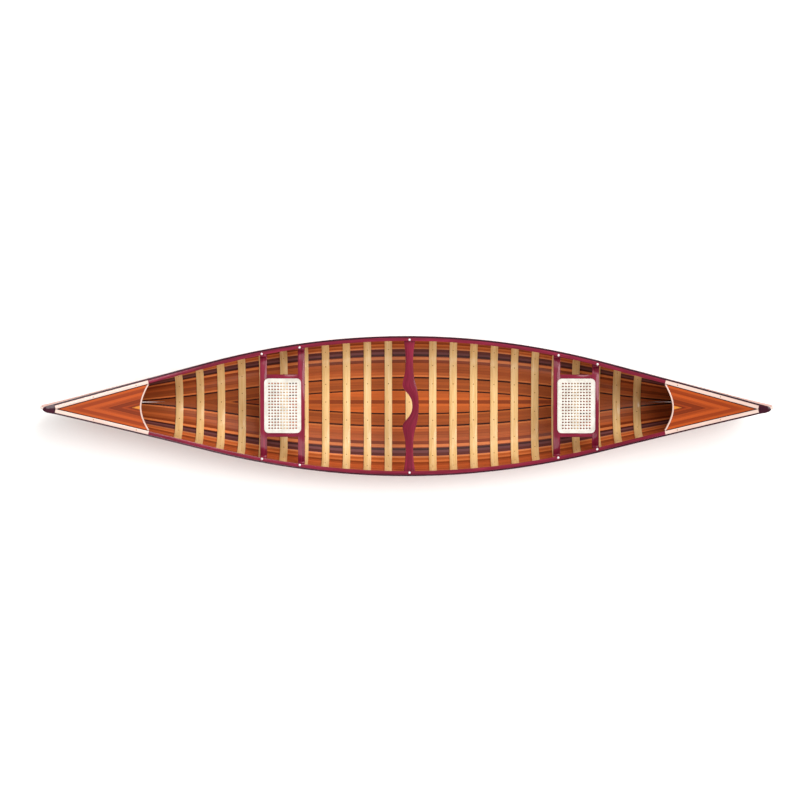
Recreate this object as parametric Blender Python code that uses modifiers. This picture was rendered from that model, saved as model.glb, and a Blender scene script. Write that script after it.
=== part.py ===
# Cedar strip canoe, sixteen foot class, built of planking, ribs, gunwales, decks, seats and yoke.
# Metres, +Z up. The boat lies along X with the bow at -X and the keel on z = 0.
import math

import bmesh
import bpy
import numpy as np
from mathutils import Vector

# Lengthwise sizes
FACE_OUTERMOST = 2.44
FACE_OUTERMOST_Z = 0.42
FACE_TOP_Z = 0.645
FACE_TOP_INSET = 0.05
FACE_FOOT_LENGTH = 0.82
FACE_POWER = 2.6
STEM_THICK = 0.010
STEM_TAPER_ANGLE = math.radians(75.0)
STEM_END_ANGLE = math.radians(71.0)
STEM_BACK_HALF = 0.008
STEM_FRONT_HALF = 0.0045
FLOOR_CLEAR = 0.0005

# Midship section and sheer
SHEER_MID_Z = 0.38
SHEER_POWER = 2.9
HULL_HALF_BEAM = 0.4585
KEEL_FLAT_HALF = 0.050
SECTION_BREADTH_POWER = 0.50
SECTION_DEPTH_POWER = 0.80
PLAN_KNEE = 0.551
PLAN_FULLNESS = 1.2525
PLAN_END_SLOPE = 1.38
ROCKER_START = 0.40
ROCKER_POWER_LOSS = 0.4
KEEL_THIN_RUN = 0.25
PLANK = 0.0065
GAP = 0.0003
HALF_GAP = 0.00015
WELD = 0.00001

# Strip lines measured down the side of the midship section
SHEER_WEDGE = 0.045
SHEER_WEDGE_RUN = 0.030
TOP_EDGE = 0.006
SHEER_BAND_LINE = 0.045
STRAKE_TOP = 0.355
STRAKE_FOOT = 0.415
CENTRE_LINE_HALF = 0.082
BOTTOM_FULLNESS = 0.25

# Gunwales
OUTWALE_WIDE = 0.010
WALE_DEEP = 0.020
LIP = 0.0057
WALE_EASE = 0.003
INWALE_WIDE = 0.0225
OUTWALE_END = 0.998
BORDER_WIDE = 0.023
DECK_INNER_X = 1.72
CAP_INNER_X = 2.3245
CAP_NOSE_X = 2.402
CAP_STEP = 0.0035
CAP_TAPER = 0.45
CAP_ROUND_POWER = 5.0

# Ribs
COLUMNS_RIB_RUN = ("first_x", "pitch", "count")
RIB_RUNS = (
    (-1.536, 0.1412, 12),
    (0.176, 0.1380, 11),
)
RIB_WIDE = 0.050
RIB_THICK = 0.008
RIB_GAP = 0.0009
RIB_END_GAP = 0.0010

# Decks
DECK_THICK = 0.008
DECK_ARC_DEEP = 0.052
COAMING_THICK = 0.009
COAMING_DEEP = 0.030
COAMING_PROUD = 0.002

# Seats
EDGE_EASE = 0.0015
BAR_WIDE = 0.046
BAR_THICK = 0.018
SEAT_DROP = 0.028
SPACER_WIDE = 0.016
SIDE_CLEAR = 0.0108
RAIL_INNER = 0.176
RAIL_OUTER = 0.209
CANE_THICK = 0.004
CANE_HALF_Y = 0.1826
CANE_CORNER = 0.029

# Yoke
YOKE_X = 0.018
YOKE_THICK = 0.020
YOKE_EASE = 0.002

COLUMNS_SEAT = ("name", "bar_fore_x", "bar_aft_x")
SEATS = (
    ("bow_seat", -0.957, -0.704),
    ("stern_seat", 1.001, 1.260),
)

# Edge of the yoke on the bow side and on the stern side at each distance from the centreline
COLUMNS_YOKE = ("y", "bow_edge", "stern_edge")
YOKE_EDGE = (
    (0.000, 0.020, 0.062),
    (0.040, 0.014, 0.061),
    (0.072, -0.003, 0.058),
    (0.100, -0.028, 0.053),
    (0.122, -0.045, 0.048),
    (0.145, -0.048, 0.042),
    (0.180, -0.040, 0.033),
    (0.230, -0.029, 0.026),
    (0.300, -0.025, 0.024),
    (0.360, -0.028, 0.027),
    (0.400, -0.033, 0.032),
    (0.4380, -0.0385, 0.0385),
)

COLOURS = {
    "cedar_side": (0.47, 0.13, 0.035, 1.0),
    "cedar_bottom": (0.62, 0.27, 0.04, 1.0),
    "walnut": (0.065, 0.018, 0.010, 1.0),
    "feature": (0.42, 0.10, 0.03, 1.0),
    "ash": (0.78, 0.55, 0.26, 1.0),
    "maple": (0.72, 0.48, 0.32, 1.0),
    "purpleheart": (0.15, 0.012, 0.032, 1.0),
    "cane": (0.80, 0.70, 0.50, 1.0),
}


def clear_scene():
    for item in list(bpy.data.objects):
        bpy.data.objects.remove(item, do_unlink=True)


clear_scene()
HOME = bpy.data.collections.new("cedar_strip_canoe")
bpy.context.scene.collection.children.link(HOME)


def wood(key, name):
    material = bpy.data.materials.new(name + "_wood")
    material.use_nodes = True
    shader = material.node_tree.nodes["Principled BSDF"]
    shader.inputs["Base Color"].default_value = COLOURS[key]
    shader.inputs["Roughness"].default_value = 0.35
    shader.inputs["Coat Weight"].default_value = 0.6
    return material


def group(name, place):
    """An empty that carries the pieces of one assembly."""
    empty = bpy.data.objects.new(name, None)
    empty.location = place
    HOME.objects.link(empty)
    return empty


def put(item, place, key, holder):
    """Stand a piece at its place, under its assembly if it has one, and give it its wood."""
    item.data.materials.append(wood(key, item.name))
    HOME.objects.link(item)
    item.location = place
    if holder is not None:
        item.parent = holder
        item.location = Vector(place) - holder.location
    return item


def face_outwards(body):
    bmesh.ops.recalc_face_normals(body, faces=body.faces)
    if body.calc_volume(signed=True) < 0.0:
        bmesh.ops.reverse_faces(body, faces=body.faces)


def ease_edges(item, width):
    """Round the sharp edges of a sawn piece with one flat."""
    step = item.modifiers.new("eased_edges", "BEVEL")
    step.width = width
    step.segments = 1
    step.limit_method = "ANGLE"
    step.angle_limit = math.radians(40.0)


def solid(name, verts, faces, key, holder=None):
    """A closed piece whose origin is the middle of its own box."""
    verts = np.asarray(verts, dtype=float)
    middle = 0.5 * (verts.min(axis=0) + verts.max(axis=0))
    mesh = bpy.data.meshes.new(name)
    mesh.from_pydata([tuple(float(c) for c in v) for v in verts - middle], [], faces)
    body = bmesh.new()
    body.from_mesh(mesh)
    face_outwards(body)
    body.to_mesh(mesh)
    body.free()
    return put(bpy.data.objects.new(name, mesh), middle, key, holder)


def block(name, low, high, key, holder=None):
    """A straight rail between two opposite corners."""
    low = Vector(low)
    high = Vector(high)
    body = bmesh.new()
    bmesh.ops.create_cube(body, size=1.0)
    bmesh.ops.scale(body, vec=high - low, verts=body.verts)
    mesh = bpy.data.meshes.new(name)
    body.to_mesh(mesh)
    body.free()
    item = put(bpy.data.objects.new(name, mesh), (low + high) / 2.0, key, holder)
    ease_edges(item, EDGE_EASE)
    return item


def board(name, outline, thick, key, place, turn=(0.0, 0.0, 0.0), holder=None):
    """Saw a flat outline from a board of one thickness; place is the middle of its thickness."""
    curve = bpy.data.curves.new(name + "_outline", "CURVE")
    curve.dimensions = "2D"
    curve.fill_mode = "BOTH"
    curve.extrude = thick / 2.0
    line = curve.splines.new("POLY")
    line.points.add(len(outline) - 1)
    for point, (x, y) in zip(line.points, outline):
        point.co = (x, y, 0.0, 1.0)
    line.use_cyclic_u = True
    guide = bpy.data.objects.new(name + "_outline", curve)
    HOME.objects.link(guide)
    ready = guide.evaluated_get(bpy.context.evaluated_depsgraph_get())
    mesh = bpy.data.meshes.new_from_object(ready)
    bpy.data.objects.remove(guide, do_unlink=True)
    mesh.name = name
    body = bmesh.new()
    body.from_mesh(mesh)
    bmesh.ops.remove_doubles(body, verts=body.verts, dist=WELD)
    bmesh.ops.dissolve_limit(body, angle_limit=math.radians(1.0), verts=body.verts, edges=body.edges)
    face_outwards(body)
    body.to_mesh(mesh)
    body.free()
    mesh.materials.clear()
    item = put(bpy.data.objects.new(name, mesh), place, key, holder)
    item.rotation_euler = turn
    return item


def grid_solid(name, outer, inner, key, holder=None):
    """Close two matching point grids into one plate: both faces and the four rims.

    Neighbouring planks share one joint face across the hull's own normal, which a thickness
    added to each plank alone would cut at two different angles.
    """
    outer = np.asarray(outer)
    inner = np.asarray(inner)
    rows, cols = outer.shape[:2]
    count = rows * cols
    verts = np.concatenate([outer.reshape(-1, 3), inner.reshape(-1, 3)])
    faces = []
    for i in range(rows - 1):
        for j in range(cols - 1):
            a = i * cols + j
            b = count + a
            faces.append((a, a + 1, a + cols + 1))
            faces.append((a, a + cols + 1, a + cols))
            faces.append((b, b + cols + 1, b + 1))
            faces.append((b, b + cols, b + cols + 1))
    for i in range(rows - 1):
        for j in (0, cols - 1):
            a = i * cols + j
            faces.append((a, a + cols, count + a + cols, count + a))
    for j in range(cols - 1):
        for i in (0, rows - 1):
            a = i * cols + j
            faces.append((a, a + 1, count + a + 1, count + a))
    return solid(name, verts, faces, key, holder)


def loft_solid(name, sections, key, holder=None):
    """Run a closed section along its stations and cap both ends."""
    sections = np.asarray(sections)
    rows, cols = sections.shape[:2]
    faces = []
    for i in range(rows - 1):
        for j in range(cols):
            k = (j + 1) % cols
            faces.append((i * cols + j, i * cols + k, (i + 1) * cols + k, (i + 1) * cols + j))
    faces.append(tuple(range(cols)))
    faces.append(tuple(range((rows - 1) * cols, rows * cols)))
    return solid(name, sections.reshape(-1, 3), faces, key, holder)


# Midship section as a line from the sheer to the centreline
def midship_line():
    angles = np.linspace(math.pi / 2.0, 0.0, 181)
    span = HULL_HALF_BEAM - KEEL_FLAT_HALF
    y = KEEL_FLAT_HALF + span * np.sin(angles) ** SECTION_BREADTH_POWER
    z = SHEER_MID_Z * (1.0 - np.clip(np.cos(angles), 0.0, 1.0) ** SECTION_DEPTH_POWER)
    y = np.append(y, 0.0)
    z = np.append(z, 0.0)
    run = np.concatenate([[0.0], np.cumsum(np.hypot(np.diff(y), np.diff(z)))])
    return run, y, z


MID_V, MID_Y, MID_Z = midship_line()
GIRTH_MID = float(MID_V[-1])
CENTRE_V = GIRTH_MID - CENTRE_LINE_HALF


# Stem: the outer face of the stem piece and the line where the planking ends behind it
def stem_lines():
    tops = np.linspace(FACE_TOP_Z, FACE_OUTERMOST_Z, 40)
    rise = (tops - FACE_OUTERMOST_Z) / (FACE_TOP_Z - FACE_OUTERMOST_Z)
    x_top = FACE_OUTERMOST - FACE_TOP_INSET * rise ** 2
    angle = np.linspace(0.0, math.pi / 2.0, 200)[1:]
    power = 2.0 / FACE_POWER
    x_low = FACE_OUTERMOST - FACE_FOOT_LENGTH * (1.0 - np.clip(np.cos(angle), 0.0, 1.0) ** power)
    z_low = FACE_OUTERMOST_Z * (1.0 - np.sin(angle) ** power)
    x = np.concatenate([x_top, x_low])
    z = np.concatenate([tops, z_low])
    turn = np.concatenate([np.zeros(len(tops)), angle])
    thick = STEM_THICK * np.clip(1.0 - (turn / STEM_TAPER_ANGLE) ** 3, 0.0, 1.0)
    tx = np.gradient(x)
    tz = np.gradient(z)
    size = np.hypot(tx, tz)
    nx = -tz / size
    nz = tx / size
    nx[-1] = 0.0
    nz[-1] = -1.0
    bx = x - nx * thick
    bz = np.maximum(z - nz * thick, 0.0)
    run = np.concatenate([[0.0], np.cumsum(np.hypot(np.diff(bx), np.diff(bz)))])
    return run, bx, bz, nx, nz, thick, turn


STEM_S, STEM_X, STEM_Z, STEM_NX, STEM_NZ, STEM_T, STEM_TURN = stem_lines()
STEM_RUN = float(STEM_S[-1])
SHEER_END_X = float(STEM_X[0])
STEM_CURVED = STEM_TURN > 0.2
STRAKE_S = STRAKE_FOOT + SHEER_WEDGE


# A full middle and nearly straight ends
def plan_curve(a):
    middle = 1.0 - PLAN_FULLNESS * a ** 2
    end = PLAN_END_SLOPE * np.maximum(1.0 - a, 0.0)
    return np.where(a < PLAN_KNEE, middle, end)


def sheer_z(x):
    share = min(abs(x) / SHEER_END_X, 1.0)
    return SHEER_MID_Z + (FACE_TOP_Z - SHEER_MID_Z) * share ** SHEER_POWER


def hull_point(a, v, s):
    """Point of the outer surface on the line from midship girth v to stem run s, a from 0 to 1."""
    down = np.clip((s - STRAKE_S) / (STEM_RUN - STRAKE_S), 0.0, 1.0)
    start = ROCKER_START * down
    power = SHEER_POWER - ROCKER_POWER_LOSS * down
    lift = np.clip((a - start) / (1.0 - start), 0.0, 1.0) ** power
    end_half = STEM_BACK_HALF * np.clip((STEM_RUN - s) / KEEL_THIN_RUN, 0.0, 1.0)
    mid_y = np.interp(v, MID_V, MID_Y)
    mid_z = np.interp(v, MID_V, MID_Z)
    x = a * np.interp(s, STEM_S, STEM_X)
    y = end_half + (mid_y - end_half) * plan_curve(a) ** (1.0 - BOTTOM_FULLNESS * down)
    z = mid_z + (np.interp(s, STEM_S, STEM_Z) - mid_z) * lift
    return np.stack([x + 0.0 * y, y, z + 0.0 * y], axis=-1)


def stem_run_of(v):
    """Run down the stem where a line of the side ends: the extra strips widen it at the ends."""
    return v + SHEER_WEDGE * min(1.0, max(0.0, (v - TOP_EDGE) / SHEER_WEDGE_RUN))


def side_point(a, v):
    return hull_point(a, v, stem_run_of(v))


def bottom_section(x):
    """Outer surface below the strake at one x: run from the strake, y and z."""
    if x <= STEM_X[-1]:
        last = 1.0
    else:
        s_end = np.interp(-x, -STEM_X[STEM_CURVED], STEM_S[STEM_CURVED])
        last = (s_end - STRAKE_S) / (STEM_RUN - STRAKE_S)
    down = np.linspace(0.0, max(last, 1e-4), 80)
    v = STRAKE_FOOT + down * (GIRTH_MID - STRAKE_FOOT)
    s = STRAKE_S + down * (STEM_RUN - STRAKE_S)
    a = np.clip(x / np.interp(s, STEM_S, STEM_X), 0.0, 1.0)
    points = hull_point(a, v, s)
    run = np.concatenate([[0.0], np.cumsum(np.hypot(np.diff(points[:, 1]), np.diff(points[:, 2])))])
    return run, points[:, 1], points[:, 2]


STRAKE_END_X = float(np.interp(STRAKE_S, STEM_S, STEM_X))
REACH_X = np.linspace(0.0, STRAKE_END_X, 240)
REACH_V = np.array([STRAKE_FOOT + bottom_section(x)[0][-1] for x in REACH_X])


def reach(v):
    return float(np.interp(-v, -REACH_V, REACH_X))


def bottom_point(x, v):
    run, y, z = bottom_section(x)
    at = v - STRAKE_FOOT
    return np.array([x, np.interp(at, run, y), np.interp(at, run, z)])


# Steps over which the surface's directions are measured
STATION_STEP = 0.004
SIDE_STEP = 0.012
BOTTOM_STEP = 0.008
AHEAD_STEP = 0.002
BEHIND_STEP = 0.010


def normal_of(along, across):
    n = np.cross(along, across)
    n = n / np.linalg.norm(n)
    if n[1] - n[2] < 0.0:
        n = -n
    return n


def side_pair(a, v, inset=0.0):
    along = side_point(min(a + STATION_STEP, 1.0), v) - side_point(max(a - STATION_STEP, 0.0), v)
    if a < STATION_STEP:
        along = np.array([1.0, 0.0, 0.0])
    across = side_point(a, v + SIDE_STEP) - side_point(a, max(v - SIDE_STEP, 0.0))
    normal = normal_of(along, across)
    across = across / np.linalg.norm(across)
    outer = side_point(a, v) + across * inset
    return outer, outer - normal * PLANK


def bottom_pair(a, v, inset=0.0):
    x = a * reach(v)
    lower = min(v + BOTTOM_STEP, GIRTH_MID)
    here = min(x, max(reach(lower) - AHEAD_STEP, 0.0))
    across = bottom_point(here, lower) - bottom_point(here, max(v - BOTTOM_STEP, STRAKE_FOOT))
    if v == STRAKE_FOOT:
        outer, inner = side_pair(a, v)
        normal = (outer - inner) / PLANK
    else:
        along = bottom_point(here + AHEAD_STEP, v) - bottom_point(max(here - BEHIND_STEP, 0.0), v)
        if x < BEHIND_STEP:
            along = np.array([1.0, 0.0, 0.0])
        normal = normal_of(along, across)
    across = across / np.linalg.norm(across)
    outer = bottom_point(x, v) + across * inset
    return outer, outer - normal * PLANK


# Stations along the boat from bow to stern, as shares of each line's own reach
HALF_STATIONS = np.array([
    0.000, 0.060, 0.120, 0.180, 0.240, 0.300, 0.358, 0.414, 0.468, 0.520,
    0.571, 0.622, 0.673, 0.724, 0.775, 0.826, 0.875, 0.920, 0.962, 1.000,
])
STATIONS = np.concatenate([-HALF_STATIONS[:0:-1], HALF_STATIONS])

SIDE_ROWS = (TOP_EDGE, SHEER_BAND_LINE, 0.104, 0.170, 0.230, 0.275, 0.315, STRAKE_TOP, 0.385, STRAKE_FOOT)
LOW_ROWS = (STRAKE_FOOT, 0.433, 0.455, 0.480, 0.510, 0.545, 0.580, 0.608, CENTRE_V)
CENTRE_ROWS = (0.6, 0.2)


def whole_row(pair, v, inset=0.0):
    """Outer and inner points of one line from bow to stern on the +Y side."""
    half = [pair(float(a), v, inset) for a in HALF_STATIONS]
    outer = np.array([p[0] for p in half])
    inner = np.array([p[1] for p in half])
    outer[:, 1] = np.maximum(outer[:, 1], HALF_GAP)
    inner[:, 1] = np.maximum(inner[:, 1], HALF_GAP)
    flip = np.array([-1.0, 1.0, 1.0])
    outer = np.concatenate([outer[:0:-1] * flip, outer])
    inner = np.concatenate([inner[:0:-1] * flip, inner])
    return outer, inner


SIDE_GRID = {v: whole_row(side_pair, v) for v in SIDE_ROWS}
LOW_GRID = {v: whole_row(bottom_pair, v) for v in LOW_ROWS}
SIDES = (("port", -1.0), ("starboard", 1.0))


def planking(name, pair, rows, key):
    outer = []
    inner = []
    for k, v in enumerate(rows):
        inset = 0.0
        if k == 0 and v != TOP_EDGE:
            inset = HALF_GAP
        if k == len(rows) - 1:
            inset = -HALF_GAP
        o, i = whole_row(pair, v, inset)
        outer.append(o)
        inner.append(i)
    outer = np.array(outer).transpose(1, 0, 2)
    inner = np.array(inner).transpose(1, 0, 2)
    for side, sign in SIDES:
        turn = np.array([1.0, sign, 1.0])
        grid_solid(name + "_" + side, outer * turn, inner * turn, key)


planking("sheer_planking", side_pair, SIDE_ROWS[:3], "feature")
planking("side_planking", side_pair, SIDE_ROWS[2:8], "cedar_side")
planking("bilge_strake", side_pair, SIDE_ROWS[7:], "walnut")
planking("lower_planking", bottom_pair, LOW_ROWS, "cedar_bottom")


# Centre field of the bottom, pointed at both ends
CENTRE_TIP_SHARE = 0.985
CENTRE_TIP_HALF = 0.0008
SLOPE_STEP = 0.006


def centre_station(x, half):
    y, z = bottom_section(abs(x))[1:]
    outer = []
    inner = []
    for share in (1.0,) + CENTRE_ROWS:
        at = share * half
        height = float(np.interp(-at, -y, z))
        near = float(np.interp(-max(at - SLOPE_STEP, 0.0), -y, z))
        far = float(np.interp(-(at + SLOPE_STEP), -y, z))
        slope = (far - near) / (SLOPE_STEP + min(at, SLOPE_STEP))
        n = np.array([0.0, slope, -1.0])
        n = n / np.linalg.norm(n)
        outer.append(np.array([x, at, height]))
        inner.append(np.array([x, at, height]) - n * PLANK)
    mirror = np.array([1.0, -1.0, 1.0])
    outer = outer + [p * mirror for p in outer[::-1]]
    inner = inner + [p * mirror for p in inner[::-1]]
    return outer, inner


def centre_field():
    line = LOW_GRID[CENTRE_V][0]
    end_x = line[-1][0]
    tip_x = end_x * CENTRE_TIP_SHARE
    tip_y = float(np.interp(tip_x, line[:, 0], line[:, 1]))
    places = [(-tip_x, tip_y)]
    places += [(p[0], p[1]) for p in line[1:-1]]
    places += [(tip_x, tip_y)]
    outer = []
    inner = []
    for x, half in places:
        o, i = centre_station(x, max(half - GAP, CENTRE_TIP_HALF))
        outer.append(o)
        inner.append(i)
    grid_solid("centre_planking", outer, inner, "cedar_bottom")
    return np.array(outer), np.array(inner)


CENTRE_OUTER, CENTRE_INNER = centre_field()


# Inner faces as the pieces really lie, read by the ribs, seats and gunwales
LOW_INNER = np.array([LOW_GRID[v][1] for v in LOW_ROWS])
BOTTOM_SAMPLES = np.array([1.0, 0.82, 0.64, 0.44, 0.22, 0.0])
RIB_SKIPS = (SHEER_BAND_LINE, 0.385)


def cut_edges(p, q, x):
    """Points where the edges p-q cross the plane at x."""
    d0 = p[:, 0] - x
    d1 = q[:, 0] - x
    hit = (d0 * d1 <= 0.0) & (np.abs(d0 - d1) > 1e-9)
    t = d0[hit] / (d0[hit] - d1[hit])
    return p[hit] + (q[hit] - p[hit]) * t[:, None]


def bottom_cut(x):
    """Inner face of the lower and centre planking at one x, outermost point first."""
    grid = LOW_INNER
    found = [cut_edges(grid[:, :-1].reshape(-1, 3), grid[:, 1:].reshape(-1, 3), x)]
    found.append(cut_edges(grid[:-1].reshape(-1, 3), grid[1:].reshape(-1, 3), x))
    found.append(cut_edges(grid[:-1, :-1].reshape(-1, 3), grid[1:, 1:].reshape(-1, 3), x))
    if abs(x) < CENTRE_INNER[-1][0][0]:
        centre = CENTRE_INNER[:, :3].transpose(1, 0, 2)
        found.append(cut_edges(centre[:, :-1].reshape(-1, 3), centre[:, 1:].reshape(-1, 3), x))
    points = np.concatenate(found)[:, 1:]
    points = points[np.argsort(-points[:, 0])]
    return points


def inner_section(x):
    """Inner face of the planking at one x on the +Y side, from the top edge to the centreline."""
    rows = []
    for v in SIDE_ROWS:
        g = SIDE_GRID[v][1]
        rows.append((np.interp(x, g[:, 0], g[:, 1]), np.interp(x, g[:, 0], g[:, 2])))
    points = bottom_cut(x)
    widest = rows[-1][0]
    for share in BOTTOM_SAMPLES[1:]:
        y = share * widest
        rows.append((y, np.interp(-y, -points[:, 0], points[:, 1])))
    return np.array(rows)


def inner_half(x, z):
    line = inner_section(x)
    return float(np.interp(z, line[::-1, 1], line[::-1, 0]))


SHEER_STEP = 0.03
STOP_CLEAR = 0.004


# Gunwale lines, read off the two upper lines of the planking
def along(grid, a):
    return np.array([np.interp(a, STATIONS, grid[:, k]) for k in range(3)])


def outward(a):
    """Level direction square to the sheer, away from the boat."""
    base = SIDE_GRID[TOP_EDGE][0]
    d = along(base, min(a + SHEER_STEP, 1.0)) - along(base, max(a - SHEER_STEP, -1.0))
    n = np.array([-d[1], d[0], 0.0])
    return n / np.linalg.norm(n)


def side_at(a, which, depth):
    """Point of the planking's outer (0) or inner (1) face at a depth below the sheer."""
    top = along(SIDE_GRID[TOP_EDGE][which], a)
    low = along(SIDE_GRID[SHEER_BAND_LINE][which], a)
    top_z = along(SIDE_GRID[TOP_EDGE][0], a)[2] + TOP_EDGE
    share = (top[2] - (top_z - depth)) / (top[2] - low[2])
    return top + (low - top) * share


def run_of_stations(a0, a1):
    inner = [float(a) for a in STATIONS if a0 + STOP_CLEAR < a < a1 - STOP_CLEAR]
    return [a0] + inner + [a1]


def outwale_section(a, under_cap):
    n = outward(a)
    head = TOP_EDGE + GAP if under_cap else 0.0
    top = side_at(a, 0, head) + n * GAP
    foot = side_at(a, 0, WALE_DEEP) + n * GAP
    drop = np.array([0.0, 0.0, WALE_EASE])
    return [
        top,
        top + n * (OUTWALE_WIDE - WALE_EASE),
        top + n * OUTWALE_WIDE - drop,
        foot + n * OUTWALE_WIDE + drop,
        foot + n * (OUTWALE_WIDE - WALE_EASE),
        foot,
    ]


def inwale_section(a, wide):
    n = outward(a)
    lip_top = side_at(a, 0, 0.0)
    lip_foot = side_at(a, 0, LIP)
    neck = side_at(a, 1, LIP) - n * GAP
    foot = side_at(a, 1, WALE_DEEP) - n * GAP
    inside = wide - PLANK - GAP
    corner = lip_top - n * wide
    low = foot - n * inside
    section = [lip_top, corner, low, foot, neck, lip_foot]
    for p in section:
        p[1] = max(p[1], HALF_GAP)
    return section


DECK_A = DECK_INNER_X / SHEER_END_X
INWALE_STOPS = run_of_stations(-DECK_A + 0.0001, DECK_A - 0.0001)
INWALE_LINE = np.array([inwale_section(a, INWALE_WIDE) for a in INWALE_STOPS])


def under_inwale(x):
    """Height just below the inwale at one x."""
    low = INWALE_LINE[:, 2]
    foot = INWALE_LINE[:, 3]
    lowest = min(np.interp(x, low[:, 0], low[:, 2]), np.interp(x, foot[:, 0], foot[:, 2]))
    return float(lowest) - 2.0 * GAP


def offset_line(line, distance):
    """Move an open (y, z) line sideways to its left by a distance, with mitred corners."""
    line = np.asarray(line)
    legs = np.diff(line, axis=0)
    legs = legs / np.linalg.norm(legs, axis=1)[:, None]
    left = np.stack([-legs[:, 1], legs[:, 0]], axis=1)
    out = []
    for k in range(len(line)):
        if k == 0:
            n = left[0]
            size = 1.0
        elif k == len(line) - 1:
            n = left[-1]
            size = 1.0
        else:
            n = left[k - 1] + left[k]
            n = n / np.linalg.norm(n)
            size = 1.0 / max(0.5, float(np.dot(n, left[k])))
        out.append(line[k] + n * distance * size)
    return np.array(out)


def rib_edge(x):
    line = inner_section(x)
    foot = under_inwale(x)
    share = (line[0, 1] - foot) / (line[0, 1] - line[1, 1])
    top = line[0] + (line[1] - line[0]) * share
    skips = [SIDE_ROWS.index(v) for v in RIB_SKIPS]
    half = np.concatenate([[top], [p for k, p in enumerate(line) if k > 0 and k not in skips]])
    other = half[::-1] * np.array([-1.0, 1.0])
    return np.concatenate([half, other[1:]])


def rib(index, x):
    x0 = x - RIB_WIDE / 2.0
    x1 = x + RIB_WIDE / 2.0
    fore = rib_edge(x0)
    aft = rib_edge(x1)
    lines = []
    clear = RIB_GAP + RIB_END_GAP * (abs(x) / 1.54) ** 6
    for edge, at in ((fore, x0), (aft, x1)):
        for distance in (clear, clear + RIB_THICK):
            moved = offset_line(edge, -distance)
            moved[0, 1] = edge[0, 1]
            moved[-1, 1] = edge[-1, 1]
            lines.append(np.array([(at, p[0], p[1]) for p in moved]))
    sections = np.stack([lines[0], lines[1], lines[3], lines[2]], axis=1)
    loft_solid("rib_%02d" % index, sections, "ash")


RIB_PLACES = [first + pitch * step for first, pitch, count in RIB_RUNS for step in range(count)]
for number, place_x in enumerate(RIB_PLACES):
    rib(number + 1, place_x)


# The outwale steps down under the tip cap over this share of the length
RAMP_HALF = 0.0002


def gunwales():
    cap_a = (CAP_INNER_X - CAP_STEP) / SHEER_END_X
    places = run_of_stations(-OUTWALE_END, OUTWALE_END)
    for edge in (-cap_a, cap_a):
        places += [edge - RAMP_HALF, edge + RAMP_HALF]
    sections = [outwale_section(a, abs(a) > cap_a) for a in sorted(places)]
    for side, sign in SIDES:
        turn = np.array([1.0, sign, 1.0])
        loft_solid("outwale_" + side, np.array(sections) * turn, "purpleheart")
        loft_solid("inwale_" + side, INWALE_LINE * turn, "purpleheart")


gunwales()


STEM_LAST_CLEAR = 0.01
STEM_BACK_CLEAR = 0.0005
STEM_SHOULDER = 0.55


# Stem pieces in front of the planking's ends
def stem_pieces():
    marks = [stem_run_of(v) for v in SIDE_ROWS]
    for v in LOW_ROWS[1:]:
        marks.append(float(np.interp(-reach(v), -STEM_X[STEM_CURVED], STEM_S[STEM_CURVED])))
    last = float(np.interp(STEM_END_ANGLE, STEM_TURN[STEM_CURVED], STEM_S[STEM_CURVED]))
    marks = [m for m in marks if m < last - STEM_LAST_CLEAR] + [last]
    marks[0] = TOP_EDGE + GAP
    # The foremost point of the stem has a section of its own
    marks.append(float(STEM_S[np.argmax(STEM_X + STEM_NX * STEM_T)]))
    marks.sort()
    section = []
    for s in marks:
        px = float(np.interp(s, STEM_S, STEM_X))
        pz = float(np.interp(s, STEM_S, STEM_Z))
        nx = float(np.interp(s, STEM_S, STEM_NX))
        nz = float(np.interp(s, STEM_S, STEM_NZ))
        thick = float(np.interp(s, STEM_S, STEM_T))
        shoulder = STEM_BACK_CLEAR + (thick - STEM_BACK_CLEAR) * STEM_SHOULDER
        ring = []
        for d, y in ((STEM_BACK_CLEAR, -STEM_BACK_HALF), (shoulder, -STEM_BACK_HALF + STEM_BACK_CLEAR),
                     (thick, -STEM_FRONT_HALF), (thick, STEM_FRONT_HALF),
                     (shoulder, STEM_BACK_HALF - STEM_BACK_CLEAR), (STEM_BACK_CLEAR, STEM_BACK_HALF)):
            ring.append((px + nx * d, y, max(pz + nz * d, FLOOR_CLEAR)))
        section.append(ring)
    section = np.array(section)
    loft_solid("stern_stem", section, "maple")
    loft_solid("bow_stem", section * np.array([-1.0, 1.0, 1.0]), "maple")


stem_pieces()


# Places and clearances of the deck pieces
DECK_START_CLEAR = 0.0001
CAP_START_CLEAR = 0.0002
PANEL_START_CLEAR = 0.0008
PANEL_TIP_HALF = 0.004
PANEL_ROWS = 8
ARC_POINTS = 13
COAMING_END_IN = 0.004
CAP_ROWS = 8
CAP_NOSE_SHARE = 0.03


def deck_panel(name, flip, half_at, tip_x, holder):
    """The strip panel: a concave inner edge, drawn out to the tip between the borders."""
    shares = np.linspace(-1.0, 1.0, ARC_POINTS)
    edge_x = DECK_INNER_X + PANEL_START_CLEAR + DECK_ARC_DEEP * (1.0 - shares ** 2)
    top = []
    low = []
    for step in np.linspace(0.0, 1.0, PANEL_ROWS):
        line = []
        for share, x_edge in zip(shares, edge_x):
            x = x_edge + step * (tip_x - x_edge)
            line.append((x, share * half_at(x), sheer_z(x)))
        top.append(line)
        low.append([(x, y, z - DECK_THICK) for x, y, z in line])
    grid_solid(name + "_panel", np.array(top) * flip, np.array(low) * flip, "cedar_side", holder)
    return np.array(top[0])


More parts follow.
